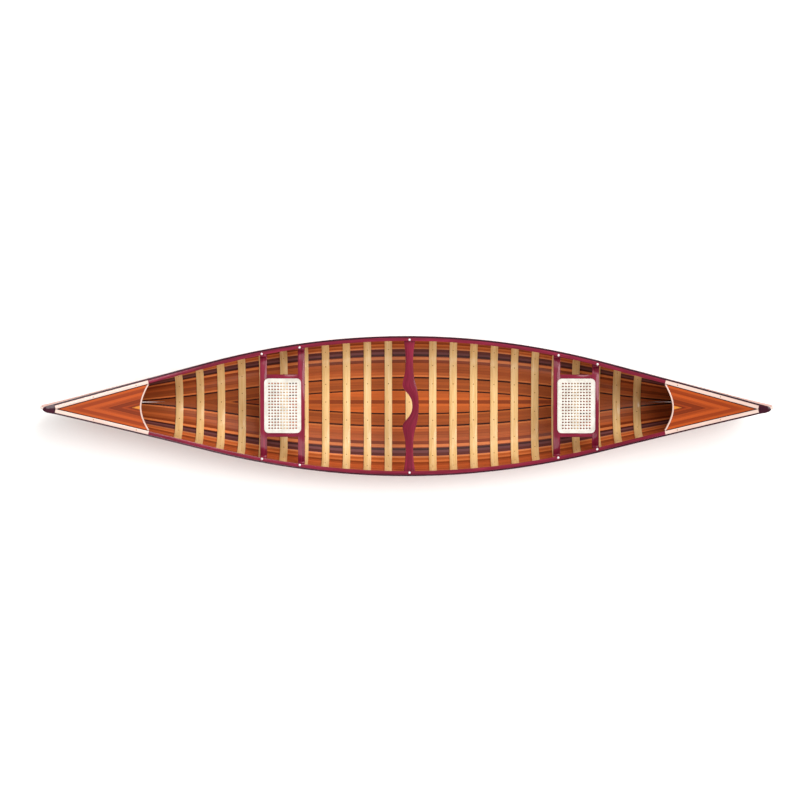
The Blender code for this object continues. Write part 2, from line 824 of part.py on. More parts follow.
def deck_coaming(name, flip, inner_edge, reach_y, holder):
    """A bent strip along the panel's inner edge, a little proud of it and deep below it."""
    back_line = inner_edge[:, :2].copy()
    back_line[:, 1] = np.clip(back_line[:, 1], -reach_y, reach_y)
    back_line = offset_line(back_line, GAP + DECK_START_CLEAR)
    front_line = offset_line(back_line, COAMING_THICK)
    sections = []
    for (bx, by), (fx, fy) in zip(back_line, front_line):
        by = max(-reach_y, min(reach_y, by))
        fy = max(-reach_y, min(reach_y, fy))
        z = sheer_z(bx) + COAMING_PROUD
        sections.append([(bx, by, z), (fx, fy, z), (fx, fy, z - COAMING_DEEP), (bx, by, z - COAMING_DEEP)])
    loft_solid(name + "_coaming", np.array(sections) * flip, "maple", holder)


def deck_tip_cap(name, flip, holder):
    """A hardwood cap over the meeting gunwales, which narrows to a small rounded nose."""
    wide = float(outwale_section(CAP_INNER_X / SHEER_END_X, False)[1][1])
    cap_top = []
    for step in np.linspace(0.0, 1.0, CAP_ROWS):
        x = CAP_INNER_X + PANEL_START_CLEAR + step * (CAP_NOSE_X - CAP_INNER_X)
        straight = wide * (1.0 - CAP_TAPER * step)
        half = straight * math.sqrt(max(1.0 - step ** CAP_ROUND_POWER, CAP_NOSE_SHARE))
        cap_top.append([(x, share * half, sheer_z(x)) for share in (-1.0, -0.5, 0.0, 0.5, 1.0)])
    cap_top = np.array(cap_top)
    cap_low = cap_top - np.array([0.0, 0.0, LIP])
    grid_solid(name + "_tip_cap", cap_top * flip, cap_low * flip, "purpleheart", holder)


# Decks at both ends: borders, panel, coaming and tip cap
def deck(name, sign_x):
    flip = np.array([sign_x, 1.0, 1.0])
    holder = group(name, (sign_x * DECK_INNER_X, 0.0, sheer_z(DECK_INNER_X)))
    stops = run_of_stations((DECK_INNER_X + DECK_START_CLEAR) / SHEER_END_X,
                            (CAP_INNER_X - CAP_START_CLEAR) / SHEER_END_X)
    border = np.array([inwale_section(a, BORDER_WIDE) for a in stops])
    for side, sign in SIDES:
        turn = np.array([1.0, sign, 1.0])
        loft_solid(name + "_border_" + side, border * turn * flip, "maple", holder)
    edge_top = border[:, 1]

    def half_at(x):
        return float(np.interp(x, edge_top[:, 0], edge_top[:, 1])) - GAP

    tip_x = float(np.interp(-PANEL_TIP_HALF, -edge_top[:, 1], edge_top[:, 0]))
    inner_edge = deck_panel(name, flip, half_at, tip_x, holder)
    at = DECK_INNER_X + COAMING_END_IN
    reach_y = min(float(np.interp(at, border[:, k, 0], border[:, k, 1])) for k in (1, 2)) - GAP
    deck_coaming(name, flip, inner_edge, reach_y, holder)
    deck_tip_cap(name, flip, holder)


deck("bow_deck", -1.0)
deck("stern_deck", 1.0)


# Turns that stand a board's outline across the boat
ACROSS = (math.radians(90.0), 0.0, math.radians(90.0))
SPACER_FOOT = 0.001
CANE_FORE_IN = 0.0045
CANE_AFT_IN = 0.0022


def crossbar(name, centre, top, holder):
    """A seat bar with its two spacers, sawn from one board and hung under the inwales."""
    edges = (centre - BAR_WIDE / 2.0, centre + BAR_WIDE / 2.0)
    bar_half = min(inner_half(x, top - BAR_THICK) for x in edges) - SIDE_CLEAR
    head_half = min(inner_half(x, top + SEAT_DROP) for x in edges) - SIDE_CLEAR
    post_out = min(head_half, bar_half)
    post_in = post_out - SPACER_WIDE
    head = min(under_inwale(x) for x in edges) - top
    half = [(bar_half, -BAR_THICK), (bar_half, 0.0), (post_out, SPACER_FOOT),
            (post_out, head), (post_in, head), (post_in, 0.0)]
    outline = half + [(-y, z) for y, z in half[::-1]]
    board(name, outline, BAR_WIDE, "purpleheart", (centre, 0.0, top), ACROSS, holder)


def round_rectangle(half_x, half_y, radius):
    """Outline with round corners, four chords to a corner."""
    outline = []
    for sx, sy, start in ((1, 1, 0.0), (-1, 1, 90.0), (-1, -1, 180.0), (1, -1, 270.0)):
        for k in range(5):
            angle = math.radians(start + 22.5 * k)
            outline.append((sx * (half_x - radius) + radius * math.cos(angle),
                            sy * (half_y - radius) + radius * math.sin(angle)))
    return outline


# Seats: two hung crossbars, two rails and a cane panel each
def seat(name, x_fore, x_aft):
    top = min(under_inwale(x_fore), under_inwale(x_aft)) - SEAT_DROP
    holder = group(name, ((x_fore + x_aft) / 2.0, 0.0, top))
    crossbar(name + "_crossbar_fore", x_fore, top, holder)
    crossbar(name + "_crossbar_aft", x_aft, top, holder)
    x0 = x_fore + BAR_WIDE / 2.0 + GAP
    x1 = x_aft - BAR_WIDE / 2.0 - GAP
    for side, sign in SIDES:
        y0, y1 = sorted((sign * RAIL_INNER, sign * RAIL_OUTER))
        block(name + "_rail_" + side, (x0, y0, top - BAR_THICK), (x1, y1, top), "purpleheart", holder)
    cane_fore = x_fore + CANE_FORE_IN
    cane_aft = x_aft - CANE_AFT_IN
    outline = round_rectangle((cane_aft - cane_fore) / 2.0, CANE_HALF_Y, CANE_CORNER)
    place = ((cane_fore + cane_aft) / 2.0, 0.0, top + GAP + CANE_THICK / 2.0)
    board(name + "_cane", outline, CANE_THICK, "cane", place, holder=holder)


for row in SEATS:
    seat(*row)


# Portage yoke under the inwales at midlength, sawn to its neck and arms
def yoke():
    bow_side = [(bow, y) for y, bow, stern in YOKE_EDGE]
    stern_side = [(stern, y) for y, bow, stern in YOKE_EDGE]
    outline = stern_side + bow_side[::-1]
    outline += [(x, -y) for x, y in bow_side[1:]]
    outline += [(x, -y) for x, y in stern_side[:0:-1]]
    middle = under_inwale(0.0) - YOKE_THICK / 2.0
    item = board("yoke", outline, YOKE_THICK, "purpleheart", (YOKE_X, 0.0, middle))
    ease_edges(item, YOKE_EASE)


yoke()
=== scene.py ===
import math

import bmesh
import bpy
import numpy as np
from bpy.props import FloatProperty, FloatVectorProperty, PointerProperty
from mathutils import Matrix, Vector


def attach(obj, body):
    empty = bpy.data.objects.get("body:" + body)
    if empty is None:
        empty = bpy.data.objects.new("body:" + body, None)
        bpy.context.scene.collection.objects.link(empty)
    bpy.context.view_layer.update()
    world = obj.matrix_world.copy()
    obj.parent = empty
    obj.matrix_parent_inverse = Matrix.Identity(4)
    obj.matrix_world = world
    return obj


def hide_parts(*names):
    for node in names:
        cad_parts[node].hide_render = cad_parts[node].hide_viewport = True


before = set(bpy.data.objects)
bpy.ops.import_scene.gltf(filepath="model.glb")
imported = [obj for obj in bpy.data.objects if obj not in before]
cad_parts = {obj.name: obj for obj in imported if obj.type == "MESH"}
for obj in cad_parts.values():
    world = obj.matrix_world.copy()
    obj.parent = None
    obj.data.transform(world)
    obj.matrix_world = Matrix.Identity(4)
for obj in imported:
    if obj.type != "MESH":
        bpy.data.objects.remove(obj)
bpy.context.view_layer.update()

bl_info = {
    "name": "Cedar Strip Canoe Looks",
    "version": (1, 0, 0),
    "blender": (4, 5, 0),
    "location": "View3D > Sidebar > Canoe",
    "description": "Builds the finished surfaces of a cedar strip canoe around its solid frame",
    "category": "Object",
}

# Driving dimensions of the boat, in metres, as the frame's solids have them
FACE_OUTERMOST = 2.44
FACE_OUTERMOST_Z = 0.42
FACE_TOP_Z = 0.645
FACE_TOP_INSET = 0.05
FACE_FOOT_LENGTH = 0.82
FACE_POWER = 2.6
STEM_THICK = 0.010
STEM_TAPER_ANGLE = math.radians(75.0)
STEM_END_ANGLE = math.radians(71.0)
STEM_BACK_HALF = 0.008
SHEER_MID_Z = 0.38
SHEER_POWER = 2.9
HULL_HALF_BEAM = 0.4585
KEEL_FLAT_HALF = 0.050
SECTION_BREADTH_POWER = 0.50
SECTION_DEPTH_POWER = 0.80
PLANK = 0.0065
GAP = 0.0003
HALF_GAP = GAP / 2.0
SHEER_WEDGE = 0.045
TOP_EDGE = 0.006
STRAKE_FOOT = 0.415
WEDGE_RUN = 0.030
CENTRE_LINE_HALF = 0.082
OUTER_LINE_HALF = 0.168
# Plan of the hull, in shares of its half length: round as far as the join, tapered beyond it
PLAN_JOIN = 0.551
PLAN_ROUND = 1.2525
PLAN_TAPER = 1.38
BOTTOM_FULLNESS = 0.25
# Lift of the ends at the keel: the share of the length where it starts, and the fall of its power
LIFT_START = 0.40
LIFT_EASE = 0.4
# Last run of the stem, over which the hull's end narrows to nothing
END_SPREAD = 0.25
# Sizes of the trim, in metres
OUTWALE_WIDE = 0.010
WALE_DEEP = 0.020
LIP = 0.0057
INWALE_WIDE = 0.0225
BORDER_WIDE = 0.023
DECK_INNER_X = 1.72
CAP_INNER_X = 2.3245
CAP_NOSE_X = 2.402
CAP_TAPER = 0.45
CAP_ROUND_POWER = 5.0
COLUMNS_RIB_RUN = ("first_x", "pitch", "count")
RIB_RUNS = (
    (-1.536, 0.1412, 12),
    (0.176, 0.1380, 11),
)
RIB_WIDE = 0.050
RIB_THICK = 0.008
DECK_THICK = 0.008
DECK_ARC_DEEP = 0.052
COAMING_THICK = 0.009
COAMING_DEEP = 0.030
COAMING_PROUD = 0.002
BAR_WIDE = 0.046
CANE_CORNER = 0.029
YOKE_X = 0.018
SIDES = (("port", -1.0), ("starboard", 1.0))
ENDS = (("bow", -1.0), ("stern", 1.0))

# Edge of the yoke on the bow side and on the stern side at each distance from the centreline
COLUMNS_YOKE = ("y", "bow_edge", "stern_edge")
YOKE_EDGE = (
    (0.000, 0.020, 0.062),
    (0.040, 0.014, 0.061),
    (0.072, -0.003, 0.058),
    (0.100, -0.028, 0.053),
    (0.122, -0.045, 0.048),
    (0.145, -0.048, 0.042),
    (0.180, -0.040, 0.033),
    (0.230, -0.029, 0.026),
    (0.300, -0.025, 0.024),
    (0.360, -0.028, 0.027),
    (0.400, -0.033, 0.032),
    (0.4380, -0.0385, 0.0385),
)


# Hull lines, the same rules as the frame's solids on a finer set of stations
def midship_line():
    angles = np.linspace(math.pi / 2.0, 0.0, 181)
    span = HULL_HALF_BEAM - KEEL_FLAT_HALF
    y = KEEL_FLAT_HALF + span * np.sin(angles) ** SECTION_BREADTH_POWER
    z = SHEER_MID_Z * (1.0 - np.clip(np.cos(angles), 0.0, 1.0) ** SECTION_DEPTH_POWER)
    y = np.append(y, 0.0)
    z = np.append(z, 0.0)
    run = np.concatenate([[0.0], np.cumsum(np.hypot(np.diff(y), np.diff(z)))])
    return run, y, z


def stem_lines():
    tops = np.linspace(FACE_TOP_Z, FACE_OUTERMOST_Z, 40)
    rise = (tops - FACE_OUTERMOST_Z) / (FACE_TOP_Z - FACE_OUTERMOST_Z)
    x_top = FACE_OUTERMOST - FACE_TOP_INSET * rise ** 2
    angle = np.linspace(0.0, math.pi / 2.0, 200)[1:]
    power = 2.0 / FACE_POWER
    x_low = FACE_OUTERMOST - FACE_FOOT_LENGTH * (1.0 - np.clip(np.cos(angle), 0.0, 1.0) ** power)
    z_low = FACE_OUTERMOST_Z * (1.0 - np.sin(angle) ** power)
    x = np.concatenate([x_top, x_low])
    z = np.concatenate([tops, z_low])
    turn = np.concatenate([np.zeros(len(tops)), angle])
    thick = STEM_THICK * np.clip(1.0 - (turn / STEM_TAPER_ANGLE) ** 3, 0.0, 1.0)
    tx = np.gradient(x)
    tz = np.gradient(z)
    size = np.hypot(tx, tz)
    nx = -tz / size
    nz = tx / size
    nx[-1] = 0.0
    nz[-1] = -1.0
    bx = x - nx * thick
    bz = np.maximum(z - nz * thick, 0.0)
    run = np.concatenate([[0.0], np.cumsum(np.hypot(np.diff(bx), np.diff(bz)))])
    return run, bx, bz, nx, nz, thick, turn


MID_V, MID_Y, MID_Z = midship_line()
GIRTH_MID = float(MID_V[-1])
CENTRE_V = GIRTH_MID - CENTRE_LINE_HALF
OUTER_V = GIRTH_MID - OUTER_LINE_HALF
STEM_S, STEM_X, STEM_Z, STEM_NX, STEM_NZ, STEM_T, STEM_TURN = stem_lines()
STEM_RUN = float(STEM_S[-1])
SHEER_END_X = float(STEM_X[0])
STRAKE_S = STRAKE_FOOT + SHEER_WEDGE
CAP_A = (CAP_INNER_X - 0.0035) / SHEER_END_X
DECK_A = DECK_INNER_X / SHEER_END_X


def plan_curve(a):
    return np.where(a < PLAN_JOIN, 1.0 - PLAN_ROUND * a ** 2, PLAN_TAPER * np.maximum(1.0 - a, 0.0))


def sheer_z(x):
    share = np.minimum(np.abs(x) / SHEER_END_X, 1.0)
    return SHEER_MID_Z + (FACE_TOP_Z - SHEER_MID_Z) * share ** SHEER_POWER


def hull_point(a, v, s):
    down = np.clip((s - STRAKE_S) / (STEM_RUN - STRAKE_S), 0.0, 1.0)
    start = LIFT_START * down
    power = SHEER_POWER - LIFT_EASE * down
    lift = np.clip((a - start) / (1.0 - start), 0.0, 1.0) ** power
    end_half = STEM_BACK_HALF * np.clip((STEM_RUN - s) / END_SPREAD, 0.0, 1.0)
    mid_y = np.interp(v, MID_V, MID_Y)
    mid_z = np.interp(v, MID_V, MID_Z)
    x = a * np.interp(s, STEM_S, STEM_X)
    y = end_half + (mid_y - end_half) * plan_curve(a) ** (1.0 - BOTTOM_FULLNESS * down)
    z = mid_z + (np.interp(s, STEM_S, STEM_Z) - mid_z) * lift
    return np.stack([x + 0.0 * y, y, z + 0.0 * y], axis=-1)


def wedge_at(v):
    return SHEER_WEDGE * min(1.0, max(0.0, (v - TOP_EDGE) / WEDGE_RUN))


def side_point(a, v):
    return hull_point(a, v, v + wedge_at(v))


def bottom_section(x):
    """Outer surface below the strake at one x: run from the strake, y and z."""
    if x <= STEM_X[-1]:
        last = 1.0
    else:
        s_end = np.interp(-x, -STEM_X[STEM_TURN > 0.2], STEM_S[STEM_TURN > 0.2])
        last = (s_end - STRAKE_S) / (STEM_RUN - STRAKE_S)
    down = np.linspace(0.0, max(last, 1e-4), 80)
    v = STRAKE_FOOT + down * (GIRTH_MID - STRAKE_FOOT)
    s = STRAKE_S + down * (STEM_RUN - STRAKE_S)
    a = np.clip(x / np.interp(s, STEM_S, STEM_X), 0.0, 1.0)
    points = hull_point(a, v, s)
    run = np.concatenate([[0.0], np.cumsum(np.hypot(np.diff(points[:, 1]), np.diff(points[:, 2])))])
    return run, points[:, 1], points[:, 2]


STRAKE_END_X = float(np.interp(STRAKE_S, STEM_S, STEM_X))
REACH_X = np.linspace(0.0, STRAKE_END_X, 240)
REACH_V = np.array([STRAKE_FOOT + bottom_section(x)[0][-1] for x in REACH_X])


def reach(v):
    return float(np.interp(-v, -REACH_V, REACH_X))


def bottom_point(x, v):
    run, y, z = bottom_section(x)
    at = v - STRAKE_FOOT
    return np.array([x, np.interp(at, run, y), np.interp(at, run, z)])


# Short distances that the planking's slope is read over
STEP_SHARE = 0.004
STEP_DOWN = 0.012
STEP_LOW = 0.008
STEP_FORE = 0.002
STEP_BACK = 0.010


def normal_of(along, across):
    n = np.cross(along, across)
    n = n / np.linalg.norm(n)
    if n[1] - n[2] < 0.0:
        n = -n
    return n


def side_pair(a, v, inset=0.0):
    along = side_point(min(a + STEP_SHARE, 1.0), v) - side_point(max(a - STEP_SHARE, 0.0), v)
    if a < STEP_SHARE:
        along = np.array([1.0, 0.0, 0.0])
    across = side_point(a, v + STEP_DOWN) - side_point(a, max(v - STEP_DOWN, 0.0))
    normal = normal_of(along, across)
    across = across / np.linalg.norm(across)
    outer = side_point(a, v) + across * inset
    return outer, outer - normal * PLANK


def bottom_pair(a, v, inset=0.0):
    x = a * reach(v)
    upper = max(v - STEP_LOW, STRAKE_FOOT)
    lower = min(v + STEP_LOW, GIRTH_MID)
    here = min(x, max(reach(lower) - STEP_FORE, 0.0))
    across = bottom_point(here, lower) - bottom_point(here, upper)
    if v == STRAKE_FOOT:
        outer, inner = side_pair(a, v)
        normal = (outer - inner) / PLANK
    else:
        along = bottom_point(here + STEP_FORE, v) - bottom_point(max(here - STEP_BACK, 0.0), v)
        if x < STEP_BACK:
            along = np.array([1.0, 0.0, 0.0])
        normal = normal_of(along, across)
    across = across / np.linalg.norm(across)
    outer = bottom_point(x, v) + across * inset
    return outer, outer - normal * PLANK


STATION_COUNT = 56
HALF_STATIONS = np.linspace(0.0, 1.0, STATION_COUNT + 1)
STATIONS = np.concatenate([-HALF_STATIONS[:0:-1], HALF_STATIONS])
SIDE_ROWS = (0.006, 0.045, 0.075, 0.104, 0.135, 0.170, 0.200, 0.230, 0.255, 0.275, 0.295,
             0.315, 0.335, 0.355, 0.375, 0.395, 0.415)
LOW_ROWS = (0.415, 0.424, 0.433, 0.444, 0.455, 0.467, 0.480, 0.495, 0.510, 0.527,
            0.545, 0.563, 0.580, 0.595, 0.608, 0.621, CENTRE_V)
FLIP_X = np.array([-1.0, 1.0, 1.0])


def whole_row(pair, v, inset=0.0):
    half = [pair(float(a), v, inset) for a in HALF_STATIONS]
    outer = np.array([p[0] for p in half])
    inner = np.array([p[1] for p in half])
    outer[:, 1] = np.maximum(outer[:, 1], HALF_GAP)
    inner[:, 1] = np.maximum(inner[:, 1], HALF_GAP)
    outer = np.concatenate([outer[:0:-1] * FLIP_X, outer])
    inner = np.concatenate([inner[:0:-1] * FLIP_X, inner])
    return outer, inner


SIDE_GRID = {v: whole_row(side_pair, v) for v in SIDE_ROWS}
LOW_GRID = {v: whole_row(bottom_pair, v) for v in LOW_ROWS}


def strip_coordinate(a, v):
    """Distance down the hull from the upper edge of the dark accent strip."""
    return v - (SHEER_WEDGE - wedge_at(v)) * np.abs(a) ** SHEER_POWER


# Mesh making
def stand(name, data):
    """Put a mesh, a lamp or a camera into the scene."""
    item = bpy.data.objects.new(name, data)
    bpy.context.scene.collection.objects.link(item)
    return item


def finish_mesh(name, verts, faces, uvs, sharp=35.0):
    mesh = bpy.data.meshes.new(name)
    mesh.from_pydata([tuple(float(c) for c in v) for v in verts], [], faces)
    layer = mesh.uv_layers.new(name="wood_run")
    uvs = np.asarray(uvs, dtype=float)
    loops = np.zeros(len(mesh.loops), dtype=int)
    mesh.loops.foreach_get("vertex_index", loops)
    layer.data.foreach_set("uv", uvs[loops].reshape(-1))
    body = bmesh.new()
    body.from_mesh(mesh)
    bmesh.ops.recalc_face_normals(body, faces=body.faces)
    if body.calc_volume(signed=True) < 0.0:
        bmesh.ops.reverse_faces(body, faces=body.faces)
    body.to_mesh(mesh)
    body.free()
    mesh.polygons.foreach_set("use_smooth", [True] * len(mesh.polygons))
    mesh.set_sharp_from_angle(angle=math.radians(sharp))
    return stand(name, mesh)


def plate(name, outer, inner, uv, sharp=35.0):
    """Close two matching point grids into one plate, with one map for both faces."""
    outer = np.asarray(outer)
    inner = np.asarray(inner)
    uv = np.asarray(uv)
    rows, cols = outer.shape[:2]
    count = rows * cols
    verts = np.concatenate([outer.reshape(-1, 3), inner.reshape(-1, 3)])
    faces = []
    for i in range(rows - 1):
        for j in range(cols - 1):
            a = i * cols + j
            faces.append((a, a + 1, a + cols + 1, a + cols))
            faces.append((count + a, count + a + cols, count + a + cols + 1, count + a + 1))
    for i in range(rows - 1):
        for j in (0, cols - 1):
            a = i * cols + j
            faces.append((a, a + cols, count + a + cols, count + a))
    for j in range(cols - 1):
        for i in (0, rows - 1):
            a = i * cols + j
            faces.append((a, a + 1, count + a + 1, count + a))
    flat = uv.reshape(-1, 2)
    return finish_mesh(name, verts, faces, np.concatenate([flat, flat]), sharp)


# Most of an edge that one rounded corner may take
EASE_LIMIT = 0.42


def eased(section, radius):
    """Round every corner of a closed section with a short two-chord arc."""
    points = [np.asarray(p, dtype=float) for p in section]
    out = []
    for k, p in enumerate(points):
        before = points[k - 1] - p
        after = points[(k + 1) % len(points)] - p
        r0 = min(radius / max(np.linalg.norm(before), 1e-9), EASE_LIMIT)
        r1 = min(radius / max(np.linalg.norm(after), 1e-9), EASE_LIMIT)
        p0 = p + before * r0
        p1 = p + after * r1
        out += [p0, 0.25 * p0 + 0.5 * p + 0.25 * p1, p1]
    return out


def bar(name, sections, offset=0.0, sharp=50.0):
    """Run a closed section along its stations; the map has the length and the way round."""
    sections = np.asarray(sections, dtype=float)
    rows, cols = sections.shape[:2]
    centre = sections.mean(axis=1)
    run = np.concatenate([[0.0], np.cumsum(np.linalg.norm(np.diff(centre, axis=0), axis=1))])
    ring = np.linalg.norm(np.diff(sections, axis=1, append=sections[:, :1]), axis=2).mean(axis=0)
    around = np.concatenate([[0.0], np.cumsum(ring)[:-1]])
    faces = []
    for i in range(rows - 1):
        for j in range(cols):
            k = (j + 1) % cols
            faces.append((i * cols + j, i * cols + k, (i + 1) * cols + k, (i + 1) * cols + j))
    faces.append(tuple(range(cols)))
    faces.append(tuple(range((rows - 1) * cols, rows * cols)))
    uv = np.stack(np.meshgrid(run + offset, around, indexing="ij"), axis=-1).reshape(-1, 2)
    return finish_mesh(name, sections.reshape(-1, 3), faces, uv, sharp)


def fasten(item, node):
    """Let a piece ride on the boat, in place of a node of the frame where it stands for one."""
    if not item.data.polygons:
        raise RuntimeError(item.name + " came out empty")
    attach(item, "root")
    if node:
        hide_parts(node)


def place(item, node, material):
    item.data.materials.clear()
    item.data.materials.append(material)
    fasten(item, node)


# Lines read off the planking by everything fastened to it
LOW_INNER = np.array([LOW_GRID[v][1] for v in LOW_ROWS])
BOTTOM_SAMPLES = np.linspace(1.0, 0.0, 12)


def along(grid, a):
    return np.array([np.interp(a, STATIONS, grid[:, k]) for k in range(3)])


def outward(a):
    base = SIDE_GRID[TOP_EDGE][0]
    d = along(base, min(a + 0.03, 1.0)) - along(base, max(a - 0.03, -1.0))
    n = np.array([-d[1], d[0], 0.0])
    return n / np.linalg.norm(n)


def side_at(a, which, depth):
    """Point of the planking's outer (0) or inner (1) face at a depth below the sheer."""
    top = along(SIDE_GRID[TOP_EDGE][which], a)
    low = along(SIDE_GRID[0.045][which], a)
    top_z = along(SIDE_GRID[TOP_EDGE][0], a)[2] + TOP_EDGE
    share = (top[2] - (top_z - depth)) / (top[2] - low[2])
    return top + (low - top) * share


def outwale_section(a, under_cap):
    n = outward(a)
    top = side_at(a, 0, TOP_EDGE + GAP if under_cap else 0.0) + n * GAP
    foot = side_at(a, 0, WALE_DEEP) + n * GAP
    return [top, top + n * OUTWALE_WIDE, foot + n * OUTWALE_WIDE, foot]


def inwale_section(a, wide):
    n = outward(a)
    lip_top = side_at(a, 0, 0.0)
    lip_foot = side_at(a, 0, LIP)
    neck = side_at(a, 1, LIP) - n * GAP
    foot = side_at(a, 1, WALE_DEEP) - n * GAP
    corner = lip_top - n * wide
    low = foot - n * (wide - PLANK - GAP)
    section = [lip_top, corner, low, foot, neck, lip_foot]
    for p in section:
        p[1] = max(p[1], HALF_GAP)
    return section


def eased_wale(section, radius):
    """Round only the edges of a gunwale that show, and keep its rabbet square."""
    corners = eased(section[:3] + [section[-1]], radius)
    return corners[:9] + section[3:5] + [section[-1]]


INWALE_STOPS = np.linspace(-DECK_A + 0.0001, DECK_A - 0.0001, 110)
INWALE_LINE = np.array([inwale_section(a, INWALE_WIDE) for a in INWALE_STOPS])


def under_inwale(x):
    heights = [float(np.interp(x, INWALE_LINE[:, k, 0], INWALE_LINE[:, k, 2])) for k in (2, 3)]
    return min(heights) - 2.0 * GAP


def cut_edges(p, q, x):
    d0 = p[:, 0] - x
    d1 = q[:, 0] - x
    hit = (d0 * d1 <= 0.0) & (np.abs(d0 - d1) > 1e-9)
    t = d0[hit] / (d0[hit] - d1[hit])
    return p[hit] + (q[hit] - p[hit]) * t[:, None]


def inner_section(x):
    """Inner face of the planking at one x on the +Y side, from the top edge to the centreline."""
    rows = []
    for v in SIDE_ROWS:
        g = SIDE_GRID[v][1]
        rows.append((np.interp(x, g[:, 0], g[:, 1]), np.interp(x, g[:, 0], g[:, 2])))
    grid = LOW_INNER
    found = [cut_edges(p.reshape(-1, 3), q.reshape(-1, 3), x)
             for p, q in ((grid[:, :-1], grid[:, 1:]), (grid[:-1], grid[1:]))]
    points = np.concatenate(found)[:, 1:]
    run, y, z = bottom_section(abs(x))
    middle = np.stack([y[::-1][:6], z[::-1][:6] + PLANK], axis=1)
    points = np.concatenate([points, middle[middle[:, 0] < points[:, 0].min()]])
    points = points[np.argsort(-points[:, 0])]
    widest = rows[-1][0]
    for share in BOTTOM_SAMPLES[1:]:
        at = share * widest
        rows.append((at, np.interp(-at, -points[:, 0], points[:, 1])))
    return np.array(rows)


def offset_line(line, distance):
    """Move an open line in a plane sideways to its left, with mitred corners."""
    line = np.asarray(line)
    legs = np.diff(line, axis=0)
    legs = legs / np.linalg.norm(legs, axis=1)[:, None]
    left = np.stack([-legs[:, 1], legs[:, 0]], axis=1)
    n = np.concatenate([left[:1], left[:-1] + left[1:], left[-1:]])
    n = n / np.linalg.norm(n, axis=1)[:, None]
    size = 1.0 / np.maximum(0.5, np.sum(n * np.concatenate([left[:1], left]), axis=1))
    return line + n * distance * size[:, None]


# Materials. Every wood reads the piece's own map: U runs along the grain, V across it, in metres.
def linear(code):
    """Linear colour of an sRGB hex value."""
    out = []
    for k in (0, 2, 4):
        c = int(code[k:k + 2], 16) / 255.0
        out.append(c / 12.92 if c <= 0.04045 else ((c + 0.055) / 1.055) ** 2.4)
    return (out[0], out[1], out[2], 1.0)


def wire(item, links, inputs=None):
    """Set a node's socket values and lead links in, from sockets or from nodes' first outputs."""
    for key, value in (inputs or {}).items():
        item.inputs[key].default_value = value
    for key, source in (links or {}).items():
        socket = source.outputs[0] if isinstance(source, bpy.types.Node) else source
        item.id_data.links.new(socket, item.inputs[key])


def add(tree, kind, links=None, inputs=None, stops=(), **settings):
    """Add one node with its settings, socket values, incoming links and, on a ramp, its colours."""
    item = tree.nodes.new(kind)
    for key, value in settings.items():
        setattr(item, key, value)
    for count, (position, code) in enumerate(stops):
        elements = item.color_ramp.elements
        stop = elements[count] if count < 1 else elements.new(position)
        stop.position = position
        stop.color = linear(code)
    if stops:
        item.color_ramp.elements.remove(item.color_ramp.elements[-1])
    wire(item, links, inputs)
    return item


def new_material(name):
    material = bpy.data.materials.new(name)
    material.use_nodes = True
    tree = material.node_tree
    tree.nodes.clear()
    shader = add(tree, "ShaderNodeBsdfPrincipled")
    add(tree, "ShaderNodeOutputMaterial", {"Surface": shader})
    return material, tree, shader


def varnish(shader, weight, coat_rough, wood_rough):
    """Clear gloss film over the wood, which wets it and so takes its own shine away."""
    wire(shader, None, {"Roughness": wood_rough, "Specular IOR Level": 0.08, "Coat Weight": weight,
                        "Coat Roughness": coat_rough, "Coat IOR": 1.5})


def grain(tree, long_scale, cross_scale, detail, seed):
    """Wood figure stretched along the piece. Scales are cycles per metre."""
    uv = add(tree, "ShaderNodeUVMap", uv_map="wood_run")
    moved = add(tree, "ShaderNodeMapping", {"Vector": uv.outputs["UV"]},
                {"Scale": (long_scale, cross_scale, 1.0), "Location": (seed, seed * 0.37, seed)})
    return add(tree, "ShaderNodeTexNoise", {"Vector": moved},
               {"Scale": 1.0, "Detail": detail, "Roughness": 0.62, "Distortion": 0.25}).outputs["Fac"]


def mean_colour(tree, first, second, stops):
    """Colour of a ramp at the mean of two figures."""
    both = add(tree, "ShaderNodeMath", {0: first, 1: second}, operation="ADD")
    half = add(tree, "ShaderNodeMath", {0: both}, {1: 0.5}, operation="MULTIPLY")
    return add(tree, "ShaderNodeValToRGB", {"Fac": half}, stops=stops)


def solid_wood(name, stops, film, seed, long_scale, cross_scale):
    """One kind of wood: broad figure, fine pores a few tenths of a millimetre wide, and varnish."""
    material, tree, shader = new_material(name)
    broad = grain(tree, long_scale * 0.45, cross_scale * 0.12, 4.0, seed)
    fine = grain(tree, long_scale * 3.0, cross_scale, 8.0, seed + 3.1)
    bump = add(tree, "ShaderNodeBump", {"Height": fine}, {"Strength": 0.12, "Distance": 0.0006})
    wire(shader, {"Base Color": mean_colour(tree, broad, fine, stops), "Normal": bump})
    varnish(shader, film, 0.10, 0.42)
    return material


